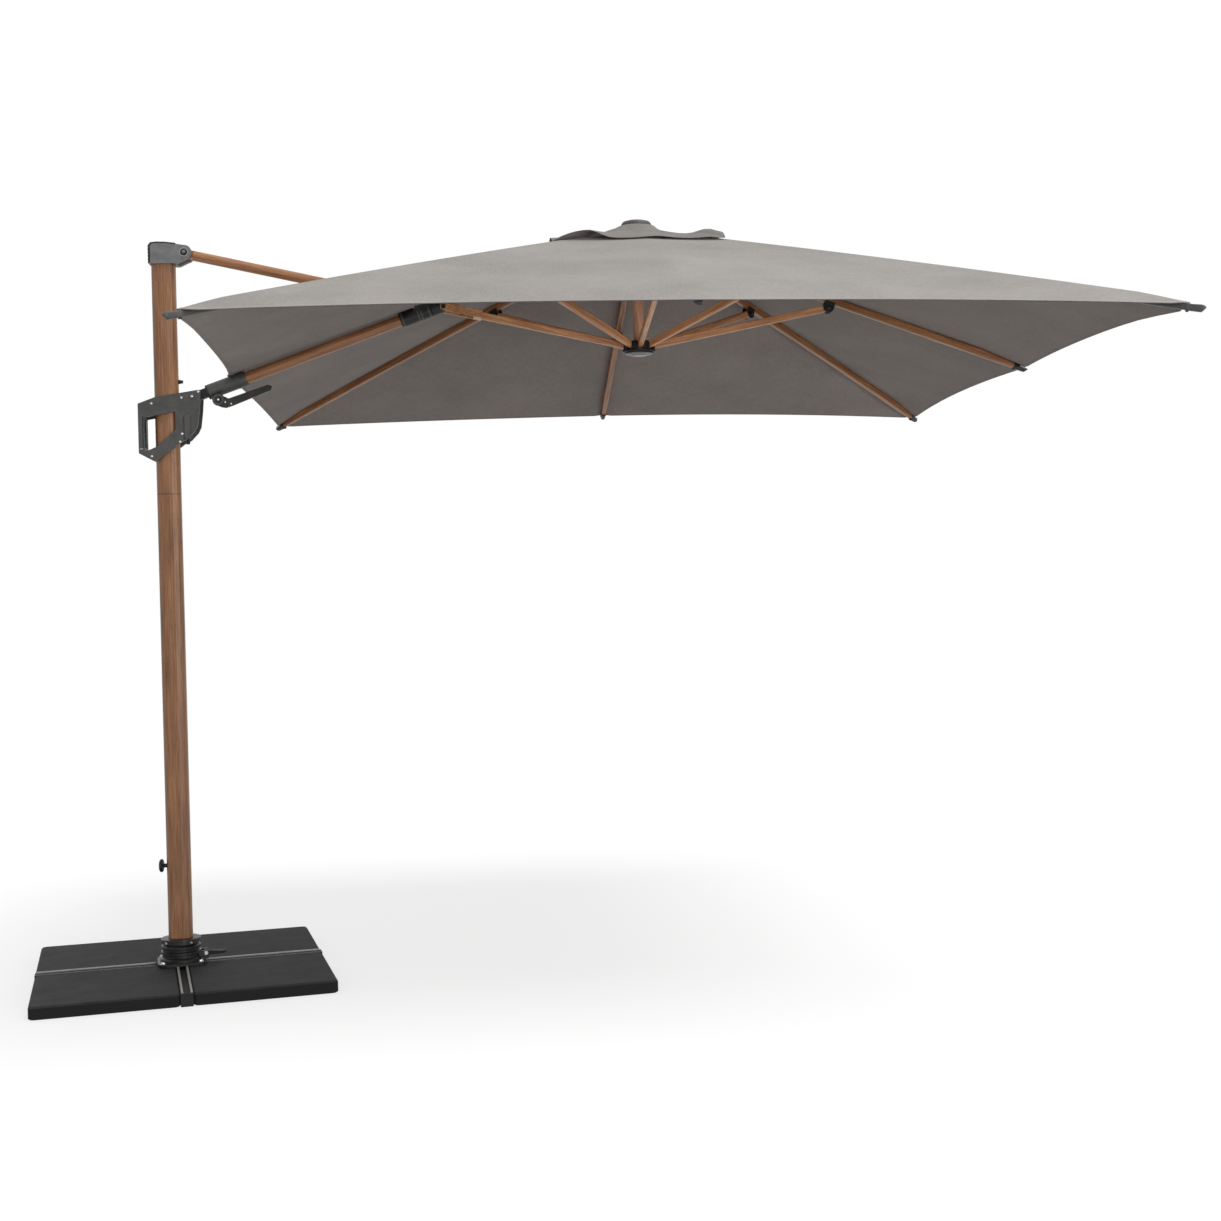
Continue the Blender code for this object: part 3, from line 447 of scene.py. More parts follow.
# Underside: the same canvas, warmer and a little darker as painted bounce light and shade.
CLOTH_PAINTED_BOUNCE_UNDER = canvas("canvas_painted_bounce_under", linear(159, 149, 143))
# Hem: lighter on top as a painted highlight on the thick edge, darker below as painted shade.
CLOTH_PAINTED_HIGHLIGHT_HEM = canvas("canvas_painted_highlight_hem", linear(176, 171, 167), True)
CLOTH_PAINTED_SHADE_HEM_UNDER = canvas("canvas_painted_shade_hem_under", linear(155, 145, 139), True)
CLOTH = [CLOTH_TOP, CLOTH_PAINTED_BOUNCE_UNDER, CLOTH_PAINTED_HIGHLIGHT_HEM, CLOTH_PAINTED_SHADE_HEM_UNDER]
# Vent flap: the canopy's canvas darkened as painted shade, with a lighter hem as a painted highlight.
FLAP_CLOTH = [canvas("canvas_painted_shade_flap", linear(134, 129, 125)), CLOTH_PAINTED_BOUNCE_UNDER,
              canvas("canvas_painted_highlight_flap_hem", linear(142, 137, 132), True), CLOTH_PAINTED_SHADE_HEM_UNDER]


def dress_frame():
    """A finish for each node of the frame, by the longest of these beginnings that its name has."""
    looks = {
        "slab": SLAB, "base_beam": BEAM, "foot": BLACK_STEEL, "foot_pedal": RUBBER,
        "swivel_bush": RUBBER, "pedal_pin": ZINC,
        "mast": MAST_WOOD, "mast_spigot": BLACK_STEEL, "mast_joint_sleeve": ZINC, "mast_cap": GREY,
        "mast_knob": BLACK, "top_pivot_bolt": BLACK,
        "slider": CHARCOAL, "slider_stop": BLACK, "slider_trigger": BLACK, "slider_pivot_pin": CHARCOAL,
        "latch": CHARCOAL, "glide": RUBBER,
        "rod_fork": BLACK, "scissor_pin": BLACK_STEEL, "scissor_collar": BLACK,
        "arm_neck": BLACK, "arm_sleeve": CHARCOAL, "lever_pin": BLACK_STEEL, "tilt_lever": DARK,
        "strut_pin": BLACK_STEEL, "upper_hub": BLACK, "lower_hub": BLACK, "lower_hub_cap": GREY,
        "finial": FINIAL_GREY, "canopy": CLOTH_TOP, "vent_flap": CLOTH_TOP,
    }
    for name, node in NODES.items():
        limb = name.startswith(("rib_", "strut_")) and name != "strut_pin"
        if limb or name in ("top_rod", "main_arm", "centre_post"):
            found = (painted_light_levels for key, painted_light_levels in LIMB_PAINTED_LIGHT_LEVELS.items() if name.startswith(key))
            painted_light_levels = next(found, OTHER_PAINTED_LIGHT_LEVELS)
            look = wood_look("wood_" + name, long_axis(node), *painted_light_levels)
        else:
            key = max((key for key in looks if name.startswith(key)), key=len)
            look = looks[key]
        node.data.materials.clear()
        node.data.materials.append(look)


def long_axis(node):
    """Direction from one end of a long node to the other."""
    points = [vertex.co for vertex in node.data.vertices]
    start = max(points, key=lambda p: (p - points[0]).length_squared)
    end = max(points, key=lambda p: (p - start).length_squared)
    return end - start


def piece(name, shape, looks, body, smooth):
    """The object of a shape, riding on a body. Edges are sharp above smooth degrees, unless that is 0."""
    mesh = bpy.data.meshes.new(name)
    shape.to_mesh(mesh)
    shape.free()
    mesh.shade_smooth()
    if smooth:
        mesh.set_sharp_from_angle(angle=math.radians(smooth))
    for look in looks:
        mesh.materials.append(look)
    made = bpy.data.objects.new(name, mesh)
    bpy.context.scene.collection.objects.link(made)
    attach(made, body)
    return made


def carrier(eighth):
    """Body that carries the cloth over a rib: the arm is the rib on the left."""
    return "arm" if eighth == LEFT else "rib_%s_link" % EIGHTHS[eighth]


def unit(value):
    """The value, kept between 0 and 1."""
    return min(max(value, 0), 1)


def bell(*offsets):
    """1 where every offset is 0, falling off smoothly to either side."""
    return math.exp(-sum(offset * offset for offset in offsets))


def heading(turn):
    """Level direction at an angle from +X."""
    return Vector((math.cos(turn), math.sin(turn), 0))


def beside(out):
    """Level direction a quarter turn on from another."""
    return Vector((-out.y, out.x, 0))


def radial(eighth):
    """Level direction of a rib from the hub."""
    return heading(math.tau * eighth / 8)


def middle_drop(reach):
    """Height of a straight rib against its hinge, this far out."""
    return -reach * math.tan(MIDDLE_SLOPE)


def corner_drop(reach):
    """The same for a bowed rib, at a corner."""
    at_joint, at_tip = CORNER_JOINT[1] / CORNER_JOINT[0], CORNER_TIP[1] / CORNER_TIP[0]
    bow = (at_joint - at_tip) / (CORNER_JOINT[0] - CORNER_TIP[0])
    return -reach * (at_tip + bow * (reach - CORNER_TIP[0]))


def arm_drop(reach):
    """The same for the arm."""
    return -reach * math.tan(ARM_ANGLE)


def narrowing(back):
    """How far a rib has narrowed, from 0 to 1, this far back from its end."""
    return unit(1 - back / RIB_TAPER)


def seam(eighth, share):
    """Point of the cloth over a rib, about the hub: share 0 at the opening, 1 at its edge."""
    corner = eighth % 2
    start = OPENING_CORNER if corner else OPENING_MIDDLE
    tip = math.sqrt(2) * CANOPY_HALF if corner else CANOPY_HALF
    radius = start + (tip - BARE_ENDS[eighth] - start) * share
    drop = corner_drop if corner else arm_drop if eighth == LEFT else middle_drop
    lift = FABRIC_LIFT - (RIB_SECTION[1] - RIB_END[1]) * narrowing(tip - radius)
    if eighth == LEFT:
        lift = FABRIC_LIFT_ARM
    point = radius * radial(eighth)
    point.z = drop(radius - HINGE_RADIUS) + lift
    return point


def cloth(eighth, across, row):
    """Point of the canopy beside a rib: across is -0.5 in the middle of a gore, 0.5 in that of the next."""
    gore, share = (eighth, across) if across >= 0 else ((eighth - 1) % 8, 1 + across)
    skew = share ** 0.5 if gore == LEFT else share
    bulge = 4 * skew * (1 - skew)
    reach = row * (1 - EDGE_HOLLOWS[gore] * bulge)
    point = seam(gore, reach).lerp(seam((gore + 1) % 8, reach), share)
    slack = bulge * math.sin(math.pi * unit(row)) ** 0.7
    point.z -= SAG * slack
    point.z += UNEVEN * slack * noise.noise(point * UNEVEN_PITCH)
    from_rib = abs(point.dot(beside(radial(eighth))))
    from_edge = (1 - row) * (seam(eighth, 1) - seam(eighth, 0)).length
    lap = 1 if eighth == NEAR else unit((from_rib - LAP_START) / LAP_WIDTH)
    if gore in ARM_GORES:
        from_arm = share if gore == LEFT else 1 - share
        lap *= from_arm * from_arm * (3 - 2 * from_arm)
    point.z -= SKIRT * lap * bell(from_edge / SKIRT_REACH)
    if (eighth, gore) in POCKETS:
        point.z -= POCKET * lap * bell(from_rib / POCKET_WIDTH, from_edge / POCKET_REACH)
    return point


def facing(surface, eighth, across, row, step=0.012):
    """Upward normal of a surface of this kind."""
    aside = surface(eighth, across + step, row) - surface(eighth, across - step, row)
    ahead = surface(eighth, across, row + step) - surface(eighth, across, row - step)
    normal = aside.cross(ahead).normalized()
    return normal if normal.z > 0 else -normal


def sheet_piece(name, body, rows, looks, missing=(), turn=None):
    """A closed sheet from rows of points, without the missing cells, and the area of its upper side. From
    column turn on, its weave is the next gore's. The looks are for its top, its underside and the same of
    its hem, which is the last row of cells."""
    columns = len(rows[0]) - 1
    turn = columns // 2 if turn is None else turn
    shape = bmesh.new()
    layer = shape.loops.layers.uv.new("UVMap")
    tops = [[shape.verts.new(spot["top"]) for spot in row] for row in rows]
    unders = [[shape.verts.new(spot["under"]) for spot in row] for row in rows]
    normals = {}
    for grid, sign in ((tops, 1), (unders, -1)):
        for line, row in zip(grid, rows):
            for vertex, spot in zip(line, row):
                normals[vertex] = sign * spot["normal"]
    kept = {(r, c) for r in range(len(rows) - 1) for c in range(columns)} - set(missing)

    def face(corners, look, flats):
        made = shape.faces.new(corners)
        made.material_index = look
        made.smooth = True
        for loop, flat in zip(made.loops, flats):
            loop[layer].uv = flat

    for r, c in sorted(kept):
        quad = [(r, c), (r, c + 1), (r + 1, c + 1), (r + 1, c)]
        hem = r == len(rows) - 2
        flats = [rows[i][j]["hem"] if hem else rows[i][j]["uv"][c >= turn] for i, j in quad]
        face([tops[i][j] for i, j in quad], HEM if hem else TOP, flats)
        face([unders[i][j] for i, j in reversed(quad)], HEM_UNDER if hem else UNDER, flats[::-1])
        edges = [(quad[0], quad[1], (r - 1, c)), (quad[2], quad[3], (r + 1, c)),
                 (quad[1], quad[2], (r, c + 1)), (quad[3], quad[0], (r, c - 1))]
        for (i, j), (k, m), beyond in edges:
            if beyond not in kept:
                face([unders[i][j], unders[k][m], tops[k][m], tops[i][j]], HEM, [flats[0]] * 4)
    loose = [vertex for vertex in shape.verts if not vertex.link_faces]
    bmesh.ops.delete(shape, geom=loose, context="VERTS")
    shape.normal_update()
    if sum(f.normal.z * f.calc_area() for f in shape.faces if f.material_index == TOP) < 0:
        bmesh.ops.reverse_faces(shape, faces=shape.faces)
    shape.verts.index_update()
    order = [normals[vertex] for vertex in shape.verts]
    area = sum(f.calc_area() for f in shape.faces if f.normal.z > 0.05)
    made = piece(name, shape, looks, body, 0)
    made.data.normals_split_custom_set_from_vertices(order)
    return made, area


def hemmed(rows, hem, thick, fold):
    """Rows of a sheet with their lift and thickness: at its hem the cloth is folded, a fold up and down."""
    return [(row, 0.0, thick) for row in rows] + [(row, -fold, thick + 2 * fold) for row in (hem, 1.0)]


def cloth_point(surface, eighth, across, level, hem, normal=None):
    """A point of a sheet with what sheet_piece needs: both faces, the normal, and its places in the weaves
    of the two gores, which run along the sides of the canopy, and in the weave of the hem."""
    row, lift, thick = level
    point = surface(eighth, across, row)
    normal = normal or facing(surface, eighth, across, row)
    aside = point.dot(beside(radial(eighth)))
    flats = []
    for gore in (eighth - 1, eighth):
        side = radial(2 * ((gore % 8 + 1) // 2) % 8)
        flats.append((point.dot(beside(side)), point.dot(side)))
    return {
        "top": HUB + point + (lift + thick) * normal, "under": HUB + point + lift * normal,
        "normal": normal, "uv": flats, "aside": aside,
        "hem": (aside, HEM_WIDTH * (1 - row) / (1 - hem)),
    }


def outer_width(rows):
    """Width of a sheet at its outer edge, across its rib."""
    asides = [spot["aside"] for spot in rows[-1]]
    return max(asides) - min(asides)


def make_canopy():
    """One sheet in eight wings, each over a rib and meeting the next in the middle of a gore. The corner
    wings and the arm's are halved along the rib."""
    rows = [0, 0.07, 0.15, 0.23, 0.30, 0.37, 0.428, 0.470, 0.54, 0.61, 0.69, 0.77, 0.85, 0.91, 0.94, 0.965]
    slit_row, slit_half, slit_anchor = 6, 0.053, 0.045
    crease_half, band_half = 0.014, 0.040
    hem = 0.990
    spread = [0.2, 0.4, 0.6, 0.8, 1.0]
    for eighth, name in enumerate(EIGHTHS):
        on_arm = name == "left"
        aside = beside(radial(eighth))
        grid = []
        for level in hemmed(rows + [hem - 0.0012], hem, FABRIC, 0.0008):
            width = abs(seam((eighth + 1) % 8, level[0]).dot(aside))
            crease = min(crease_half / width, 0.10)
            near = min((slit_half if on_arm else band_half) / width, 0.25)
            half = [crease, near] + [near + (0.5 - near) * share for share in spread]
            columns = [-across for across in reversed(half)] + [0] + half
            grid.append([cloth_point(cloth, eighth, across, level, hem) for across in columns])
        middle = len(half)
        length = (cloth(eighth, 0, 1) - cloth(eighth, 0, 0)).length
        parts = [("", grid, middle, 0)]
        if eighth % 2 or on_arm:
            parts = [("_a", [line[:middle + 1] for line in grid], middle, -1),
                     ("_b", [line[middle:] for line in grid], 0, 1)]
        for ending, part, turn, side in parts:
            slit = set()
            axis, anchor = aside, HUB
            if on_arm:
                first = turn - 2 if side < 0 else 0
                slit = {(slit_row, first), (slit_row, first + 1)}
                anchor = HUB + slit_anchor * side * aside
            elif side:
                anchor = HUB + seam(eighth, 0.5)
                chord = seam(eighth, 1) - seam(eighth, 0)
                fall = cloth(eighth, 0.3 * side, 0.6) - cloth(eighth, 0, 0.6)
                axis = fall - fall.project(chord)
            made, area = sheet_piece("canopy_" + name + ending, carrier(eighth), part, CLOTH, slit, turn)
            width = outer_width(part)
            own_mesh(made)
    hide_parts("canopy")


def canopy_height(turn, radius):
    """Height of the canopy's seam net about the hub, this far out in this direction."""
    gore = int(turn / (math.pi / 4)) % 8
    across = beside(heading(turn))

    def spot(share):
        first, second = seam(gore, share), seam((gore + 1) % 8, share)
        sides = [abs(point.dot(across)) for point in (first, second)]
        return first.lerp(second, sides[0] / sum(sides))

    low, high = -0.14, 1.0
    for halving in range(24):
        middle = (low + high) / 2
        if spot(middle).to_2d().length < radius:
            low = middle
        else:
            high = middle
    return spot(low).z


def hem_rise(turn):
    """How far the flap's free edge stands off the canopy: close to it, bellied out in places."""
    side = round(turn / (math.pi / 2))
    along = math.tan(turn - side * math.pi / 2)
    if side % 4 in (1, 2):
        along = -along
    belly = BELLY * bell((along - BELLY_PLACE) / BELLY_WIDTHS[along >= BELLY_PLACE])
    ripple = sum(rise * bell((along - place) / width) for rise, place, width in RIPPLES)
    corner = bell((abs(along) - 1) / CORNER_WIDTH)
    return (FLAP_CLEAR + belly + ripple) * (1 - 0.5 * corner)


def flap(eighth, across, row):
    """Point of the vent flap: row 0 under the finial, 1 at the free edge."""
    turn = math.tau * (eighth + across) / 8 % math.tau
    square = 1 / max(abs(math.cos(turn)), abs(math.sin(turn)))
    out = max(row, 0)
    reach = (FLAP_FLAT + (FLAP_HALF - FLAP_FLAT) * row) * square ** min(out * 2, 1)
    stretch = 1 + ((FLAP_RIGHT if math.cos(turn) > 0 else FLAP_LEFT) - 1) * out
    place = Vector((reach * stretch * math.cos(turn), reach * math.sin(turn), FLAP_SEAT))
    if row > 0:
        net = canopy_height(math.atan2(place.y, place.x) % math.tau, place.to_2d().length)
        tent = FLAP_SEAT - canopy_height(turn, FLAP_FLAT)
        steep = 7 + 2 * math.cos(turn)
        place.z = net + hem_rise(turn) * out ** 1.5 + tent * (1 - out) * math.exp(-steep * out)
        place.z += FLAP_UNEVEN * out * (1 - out) * 4 * noise.noise(place * FLAP_UNEVEN_PITCH)
        place.z += PUFF * bell((turn - PUFF_TURN) / PUFF_SIZE[0], (out - PUFF_PLACE) / PUFF_SIZE[1])
        fold = math.sin(9 * turn + 2.4 * math.sin(2 * turn) + 14 * out)
        place.z += FLAP_FOLD * fold * bell((out - FLAP_FOLD_PLACE) / FLAP_FOLD_WIDTH)
    return place


def make_flap():
    """The vent flap in eight wings, from under the finial to its free edge."""
    inside, hem = -0.12, 0.95
    rows = [inside, 0, 0.025, 0.06, 0.10, 0.15, 0.21, 0.28, 0.36, 0.45, 0.54, 0.63, 0.72, 0.81, 0.89]
    columns = [-0.5 + step / 16 for step in range(17)]
    for eighth, name in enumerate(EIGHTHS):
        grid = []
        for level in hemmed(rows + [hem - 0.004], hem, FLAP_FABRIC, 0.0006):
            upright = Vector((0, 0, 1)) if level[0] <= 0 else None
            grid.append([cloth_point(flap, eighth, across, level, hem, upright) for across in columns])
        made, area = sheet_piece("flap_" + name, carrier(eighth), grid, FLAP_CLOTH)
        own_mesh(made)
        length = (flap(eighth, 0, 1) - flap(eighth, 0, inside)).length
    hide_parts("vent_flap")


class Spot:
    """A place with directions of its own: along, aside and up."""

    def __init__(self, origin, along=(1, 0, 0), aside=(0, 1, 0)):
        self.origin = Vector(origin)
        self.along = Vector(along).normalized()
        self.aside = Vector(aside).normalized()
        self.up = self.along.cross(self.aside)

    def at(self, along, aside=0.0, up=0.0):
        return self.origin + along * self.along + aside * self.aside + up * self.up


def skin(shape, rings, look=0, looped=False):
    """A closed skin over a row of rings of points."""
    lines = [[shape.verts.new(point) for point in ring] for ring in rings]
    made = []
    for near, far in list(zip(lines, lines[1:])) + ([(lines[-1], lines[0])] if looped else []):
        for index, vertex in enumerate(near):
            after = (index + 1) % len(near)
            made.append(shape.faces.new((vertex, near[after], far[after], far[index])))
    if not looped:
        made += [shape.faces.new(lines[0]), shape.faces.new(lines[-1])]
    for face in made:
        face.material_index = look


def turned(shape, spot, profile, count, look=0, looped=False):
    """A turned skin about the spot's along line, from (radius, along) points."""
    angles = [math.tau * step / count for step in range(count)]
    rings = []
    for radius, along in profile:
        rings.append([spot.at(along, radius * math.cos(a), radius * math.sin(a)) for a in angles])
    skin(shape, rings, look, looped)


def plate(shape, spot, outline, low, high, soft, look=0):
    """An (along, up) outline carried aside from low to high, with eased edges."""
    middle_x, middle_z = (sum(values) / len(outline) for values in zip(*outline))
    rings = []
    for aside, inset in ((low, soft), (low + soft, 0), (high - soft, 0), (high, soft)):
        ring = []
        for x, z in outline:
            out_x, out_z = x - middle_x, z - middle_z
            share = 1 - inset / math.hypot(out_x, out_z)
            ring.append(spot.at(middle_x + share * out_x, aside, middle_z + share * out_z))
        rings.append(ring)
    skin(shape, rings, look)


def bar(shape, spot, low, high, soft=0.0008, look=0):
    """A bar with eased edges between two corners."""
    outline = [(low[0], low[2]), (high[0], low[2]), (high[0], high[2]), (low[0], high[2])]
    plate(shape, spot, outline, low[1], high[1], soft, look)


def rounded(width, height, radius, steps=3):
    """Points of a rectangle with round corners, centred on 0."""
    points = []
    for quarter, (right, up) in enumerate(((1, 1), (-1, 1), (-1, -1), (1, -1))):
        middle = (right * (width / 2 - radius), up * (height / 2 - radius))
        for step in range(steps + 1):
            angle = math.pi / 2 * (quarter + step / steps)
            points.append((middle[0] + radius * math.cos(angle), middle[1] + radius * math.sin(angle)))
    return points


def arc(centre, radius, start, end, steps):
    """Points of an arc between two angles in degrees."""
    sweep = [math.radians(start + (end - start) * step / steps) for step in range(steps + 1)]
    return [(centre[0] + radius * math.cos(a), centre[1] + radius * math.sin(a)) for a in sweep]


def head(shape, spot, radius, height, look=0, sides=12):
    """A screw or bolt head standing on the spot, along its along line."""
    profile = [(radius, 0), (radius, 0.6 * height), (0.72 * radius, height), (0.2 * radius, height)]
    turned(shape, spot, profile, sides, look)


def fitting(name, shape, looks, body):
    """A rigid piece of closed skins."""
    bmesh.ops.recalc_face_normals(shape, faces=shape.faces)
    piece(name, shape, looks, body, SHARP_ANGLE)


ARM = Spot(JOINTS["slider_pivot"]["pos_m"], JOINTS["tilt"]["axis"])


def rib_spot(eighth, reach):
    """Place on a rib's centre line, with along pointing out."""
    drop = corner_drop if eighth % 2 else middle_drop
    out = radial(eighth)
    place = HUB + (HINGE_RADIUS + reach) * out + Vector((0, 0, drop(reach)))
    step = 0.01
    slope = (drop(reach + step) - drop(reach - step)) / (2 * step)
    return Spot(place, out + Vector((0, 0, slope)), beside(out))


def make_rib_fittings():
    """On each rib: an end shoe with a hook for the cloth, and the knuckle that holds the strut. The shoes
    at the near corners are long and have a hump, and the others have pale bars on their sides."""
    shoe, hook_end = -0.046, -0.040
    inside, outside = 0.0125, 0.0168
    under = -RIB_SECTION[1] / 2
    for eighth, name in enumerate(EIGHTHS):
        if name == "left":
            continue
        near_corner = name in ("near_left", "near_right")
        spot = rib_spot(eighth, CORNER_TIP[0] if eighth % 2 else CANOPY_HALF - HINGE_RADIUS)
        inner = -0.19 if near_corner else shoe
        hump = 0.0055 if near_corner else 0.0
        # Rings of the shoe, from within it to its nose: place, wall, rise of the top and of the sole.
        steps = [(0.0004, 0.0003, 0, 0), (inner, 0.0003, 0, 0), (inner, 0.0014, 0, 0), (shoe, 0.0014, 0, 0),
                 (shoe, 0.0026, 0, 0), (hook_end, 0.0026, 0, 0), (-0.038, 0.0018, 0, 0),
                 (-0.030, 0.0018, 0, 0), (-0.001, 0.0010, hump, 0), (0.004, 0.0004, hump, 0.004),
                 (0.008, -0.0010, hump, 0.008), (0.0105, -0.0028, hump - 0.001, 0.0085 + 0.3 * hump)]
        rings = []
        for x, wall, top, sole in steps:
            share = narrowing(-x)
            sizes = [full + (end - full) * share + 2 * wall for full, end in zip(RIB_SECTION, RIB_END)]
            width, height = sizes[0], sizes[1] + top - sole
            low = share * (RIB_SECTION[1] - RIB_END[1]) / 2 - (top + sole) / 2
            outline = rounded(width, height, min(0.005, 0.45 * height))
            rings.append([spot.at(x, a, b - low) for a, b in outline])
        shape = bmesh.new()
        skin(shape, rings)
        bar(shape, spot, (shoe, -0.006, under - 0.006), (hook_end, 0.006, under + 0.001), look=2)
        if not near_corner:
            for low, high in ((-0.0122, -0.0090), (0.0090, 0.0122)):
                bar(shape, spot, (-0.024, low, -0.0030), (-0.002, high, 0.0036), look=1)
        # The near corners' shoes are charcoal rather than black: a painted sheen where they catch the
        # light.
        looks = [CHARCOAL if near_corner else BLACK, PALE, BLACK]
        fitting("tip_" + name, shape, looks, carrier(eighth))

        spot = rib_spot(eighth, RIB_JOINT)
        shape = bmesh.new()
        cheek = [(-0.020, -0.006), (0.020, -0.006)] + arc((0, -LUG_DROP), 0.020, -5, -175, 10)
        for low, high in ((inside, outside), (-outside, -inside)):
            plate(shape, spot, cheek, low, high, 0.0008)
        for side in (-1, 1):
            foot = Spot(spot.at(0, side * outside, -LUG_DROP), side * spot.aside, spot.along)
            head(shape, foot, 0.0075, 0.0035, 1)
        fitting("knuckle_" + name, shape, [BLACK, BLACK_STEEL], carrier(eighth))


def make_scissor_fittings():
    """Rings and nose of the collar, end band of the sleeve, and ring, screws and stud of the lever."""
    cross = Spot(ARM.at(CROSSING_ALONG), ARM.along)
    shape = bmesh.new()
    for low, high in ((-0.146, -0.138), (-0.084, -0.078), (-0.072, -0.066), (-0.042, -0.035)):
        ring = [(0.0284, low), (0.0291, low + 0.001), (0.0291, high - 0.001), (0.0284, high),
                (0.0250, high), (0.0250, low)]
        turned(shape, cross, ring, 28, looped=True)
    fitting("collar_rings", shape, [CHARCOAL], "boom")
    shape = bmesh.new()
    nose = [(0.0218, -0.0297), (0.0275, -0.0297), (0.0285, -0.027), (0.0285, 0.010), (0.0262, 0.034),
            (0.0250, 0.040), (0.0218, 0.040)]
    turned(shape, cross, nose, 28, looped=True)
    fitting("collar_nose", shape, [BLACK], "arm")
    shape = bmesh.new()
    band = [(0.0276, 0.166), (0.0286, 0.168), (0.0286, 0.200), (0.0272, 0.2045), (0.0222, 0.2045),
            (0.0222, 0.2034), (0.0255, 0.2034), (0.0276, 0.2008)]
    turned(shape, ARM, band, 28, looped=True)
    fitting("sleeve_band", shape, [CHARCOAL], "boom")

    pivot = JOINTS["lever_pull"]["pos_m"]

    def facing_front(x, depth, z):
        return Spot((pivot[0] + x, -depth, pivot[2] + z), FRONT, ARM.along)

    shape = bmesh.new()
    ring = [(0.0130, 0), (0.0208, 0), (0.0202, 0.0016), (0.0140, 0.0016)]
    turned(shape, facing_front(0, 0.0413, 0), ring, 28, looped=True)
    for x, z in ((0.024, -0.0085), (0.046, -0.0150)):
        head(shape, facing_front(x, 0.0391, z), 0.0034, 0.0012, 1, 10)
    fitting("lever_ring", shape, [CHARCOAL, ZINC], "lever")
    shape = bmesh.new()
    head(shape, facing_front(0, 0.0445, 0), 0.0038, 0.0012, 0, 10)
    fitting("lever_stud", shape, [ZINC], "boom")


def make_hub_fittings():
    """Ears that part the struts on the lower hub, and the ring and boss under its cap."""
    floor, top, strut_room = LOW_HUB.z - 0.0184, LOW_HUB.z + 0.013, 0.0128
    shape = bmesh.new()
    for step in range(8):
        spot = Spot((HUB_X, 0, 0), (0, 0, 1), heading(math.tau * (step + 0.5) / 8))
        rings = []
        for level, outer, slack in ((floor, 0.060, 0), (top - 0.006, 0.059, 0), (top, 0.053, 0.001)):
            ring = []
            for radius, side in ((0.038, -1), (outer, -1), (outer + 0.002, 0), (outer, 1), (0.038, 1)):
                half = radius * math.tan(math.pi / 8) - strut_room - slack
                ring.append(spot.at(level, radius, side * half))
            rings.append(ring)
        skin(shape, rings)
    fitting("low_hub_ears", shape, [BLACK], "runner")
    shape = bmesh.new()
    down = Spot((HUB_X, 0, LOW_HUB.z - 0.0286), (0, 0, -1), (1, 0, 0))
    ring = [(0.0545, 0.0004), (0.0565, 0.0008), (0.0565, 0.0030), (0.0545, 0.0036)]
    boss = [(0.026, 0.0072), (0.027, 0.0088), (0.024, 0.0102), (0.006, 0.0108)]
    turned(shape, down, ring, 32, 1, looped=True)
    turned(shape, down, boss, 24)
    fitting("low_hub_boss", shape, [PALE, BLACK], "runner")


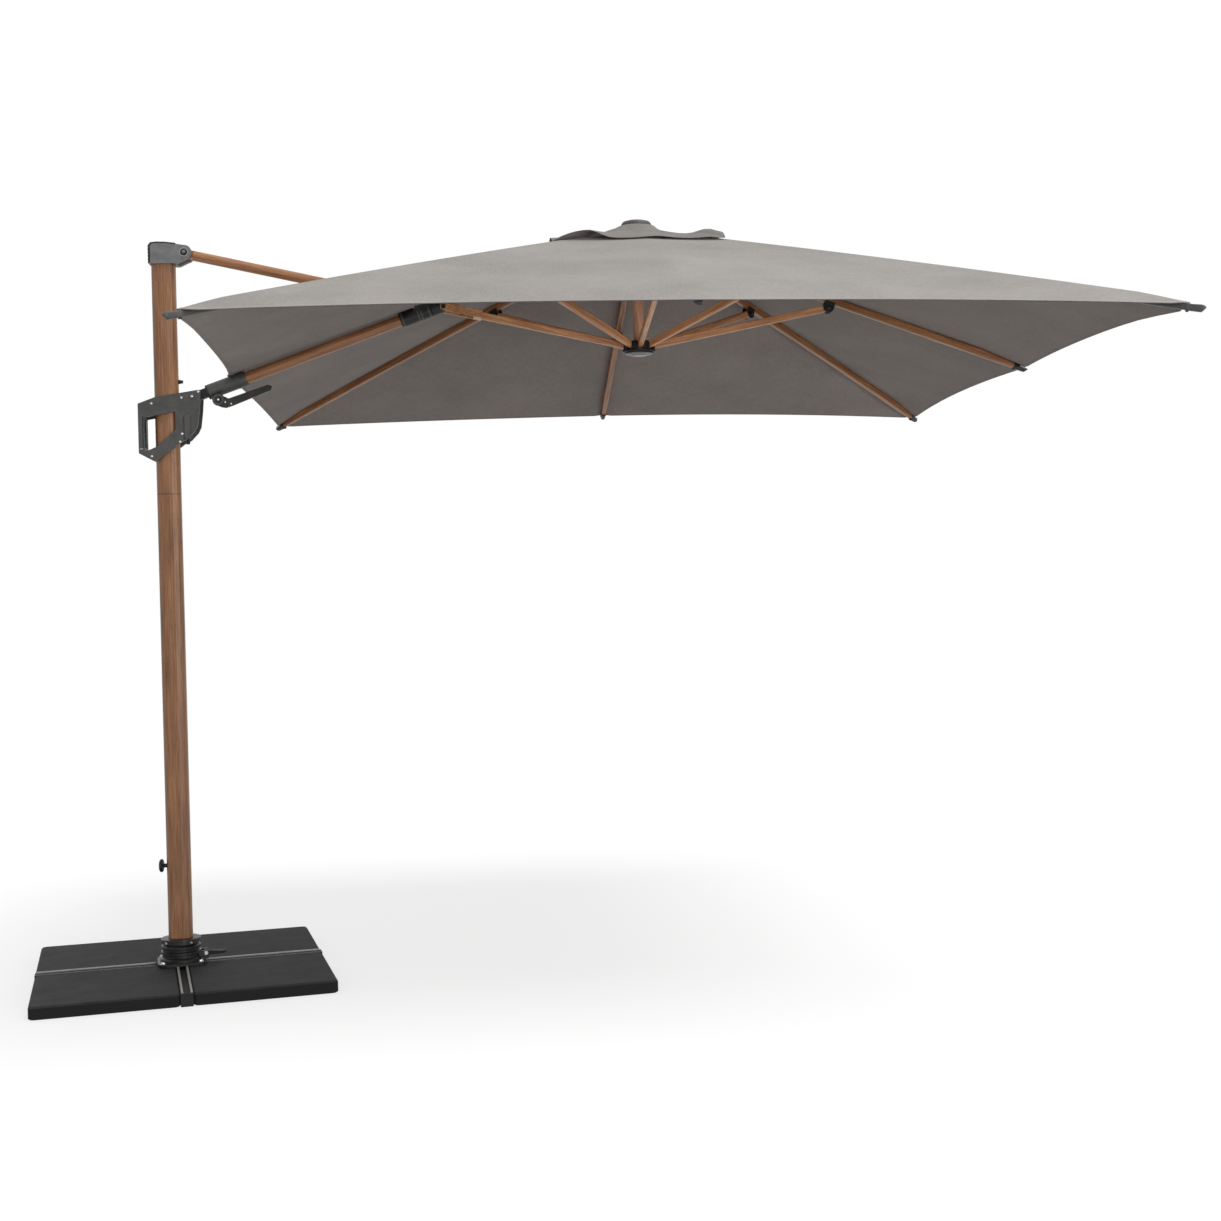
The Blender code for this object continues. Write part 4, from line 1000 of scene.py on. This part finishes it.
def make_mast_fittings():
    """Rim and bolt of the cap, screws and trims of the slider, and the ring at the mast's foot."""
    plane = Spot((0, 0, 0))
    roof, rim_half = 2.609, 0.0405
    teeth = [(-0.0492 + 0.0013 * (step % 2), 0.002 + 0.0062 * step) for step in range(11)]
    crest = [(-0.0400, 0.0765), (-0.018, 0.0793), (0.012, 0.0786), (0.050, 0.0744)]
    inner = [(0.050, 0.0700), (0.012, 0.0740), (-0.018, 0.0747), (-0.034, 0.0720), (-0.0405, 0.0640),
             (-0.0405, 0.002)]
    band = [(x, roof + z) for x, z in teeth + crest + inner]
    shape = bmesh.new()
    skin(shape, [[plane.at(x, y, z) for x, z in band] for y in (-rim_half, rim_half)])
    fitting("cap_rim", shape, [BLACK], "mast")

    def sideways(x, y, z, side):
        return Spot((x, side * y, z), (0, side, 0), (1, 0, 0))

    cap_face, cheek_face, pin_face = 0.0401, 0.0450, 0.0484
    pivot = JOINTS["fold"]["pos_m"]
    washer = [(0.0138, 0), (0.0160, 0), (0.0160, 0.0006), (0.0138, 0.0008)]
    collar = [(0.0108, 0), (0.0137, 0), (0.0135, 0.0020), (0.0108, 0.0020)]
    shape = bmesh.new()
    for side in (-1, 1):
        face = sideways(pivot[0], cap_face, pivot[2], side)
        turned(shape, face, washer, 24, looped=True)
        turned(shape, face, collar, 6, 2, looped=True)
        head(shape, Spot(face.at(0.0043), face.along, face.aside), 0.0064, 0.0030, 1, 6)
    fitting("cap_bolt", shape, [PALE, GREY, BLACK], "mast")

    shape = bmesh.new()
    places = [(-0.049, 2.098), (0.059, 2.118), (0.1195, 2.139), (0.0585, 1.986), (0.051, 1.957),
              (-0.0515, 1.906)]
    for x, z in places:
        for side in (-1, 1):
            head(shape, sideways(x, cheek_face, z, side), 0.0043, 0.0020)
    for side in (-1, 1):
        head(shape, sideways(ARM.origin.x, pin_face, ARM.origin.z, side), 0.0045, 0.0015)
    fitting("slider_screws", shape, [ZINC], "slider")
    shape = bmesh.new()
    # A dark strip between handle and trigger: painted shade of the gap between them.
    inset = [(-0.0822, 1.936), (-0.0793, 1.936), (-0.0793, 2.052), (-0.0822, 2.051)]
    for low, high in ((-0.0463, -0.0451), (0.0451, 0.0463)):
        plate(shape, plane, inset, low, high, 0.0005)
        bar(shape, plane, (-0.0945, low, 1.931), (-0.0825, high, 1.9345), 0.0004, 1)
    knob = Spot((0.080, -0.0493, 1.9645), (0, 0, -1), (1, 0, 0))
    pull = [(0.0035, 0), (0.0035, 0.006), (0.0070, 0.008), (0.0075, 0.014), (0.0050, 0.018)]
    turned(shape, knob, pull, 14)
    fitting("slider_trims", shape, [RUBBER, PALE], "slider")

    shape = bmesh.new()
    stand = Spot((0, 0, 0.1356), (0, 0, 1), (1, 0, 0))
    ring = [(0.0465, 0), (0.0690, 0), (0.0720, 0.0012), (0.0715, 0.0030), (0.0620, 0.0042),
            (0.0465, 0.0042)]
    turned(shape, stand, ring, 36, looped=True)
    bolt_height, bolt_radius = 0.128, 0.0678
    for turn in (35, 145, 230, 310):
        out = heading(math.radians(turn))
        bolt = Spot(Vector((0, 0, bolt_height)) + bolt_radius * out, out, (0, 0, 1))
        head(shape, bolt, 0.0062, 0.0045, 1, 6)
    fitting("foot_ring", shape, [BLACK_STEEL, ZINC], "mast")


def make_base_fittings():
    """Bolts of the foot with their washers, bright lips of the beams, partly bare steel and partly painted
    highlight, and caps on their ends.
    """
    yaw = heading(BASE_YAW)
    base = Spot((0, 0, 0), yaw, beside(yaw))
    bolt_place = 0.066
    washer = [(0.0122, 0), (0.0122, 0.0012), (0.0110, 0.0018), (0.004, 0.0018)]
    shape = bmesh.new()
    for x in (-bolt_place, bolt_place):
        for y in (-bolt_place, bolt_place):
            spot = Spot(base.at(x, y, PLATE_TOP + 0.0002), (0, 0, 1), yaw)
            turned(shape, spot, washer, 20)
            head(shape, Spot(spot.at(0.0019), spot.along, spot.aside), 0.0085, 0.0062, 0, 6)
    fitting("foot_bolts", shape, [ZINC], "base")

    lip_start, lip_end, lip_floor = 0.089, 0.505, 0.0472
    lip_inside, lip_outside = 0.0125, 0.0195
    # Pale lips: partly worn bare steel, partly a painted highlight along the beam edges.
    shape = bmesh.new()
    for low, high in ((-lip_end, -lip_start), (lip_start, lip_end)):
        bar(shape, base, (low, lip_inside, lip_floor), (high, lip_outside, 0.0508))
        if low < 0:
            for inner, outer in ((-lip_outside, -lip_inside), (lip_inside, lip_outside)):
                bar(shape, base, (inner, low, lip_floor), (outer, high, 0.0492))
    fitting("beam_lips", shape, [PALE], "base")

    beam_end = 0.5104
    shape = bmesh.new()
    for step in range(4):
        out = heading(BASE_YAW + step * math.pi / 2)
        spot = Spot(beam_end * out, out, beside(out))
        bar(shape, spot, (0.0001, -0.0215, 0.002), (0.0013, 0.0215, 0.045), 0.0003)
    fitting("beam_ends", shape, [RUBBER], "base")


make_camera()
make_light()
dress_frame()
make_canopy()
make_flap()
make_rib_fittings()
make_scissor_fittings()
make_hub_fittings()
make_mast_fittings()
make_base_fittings()
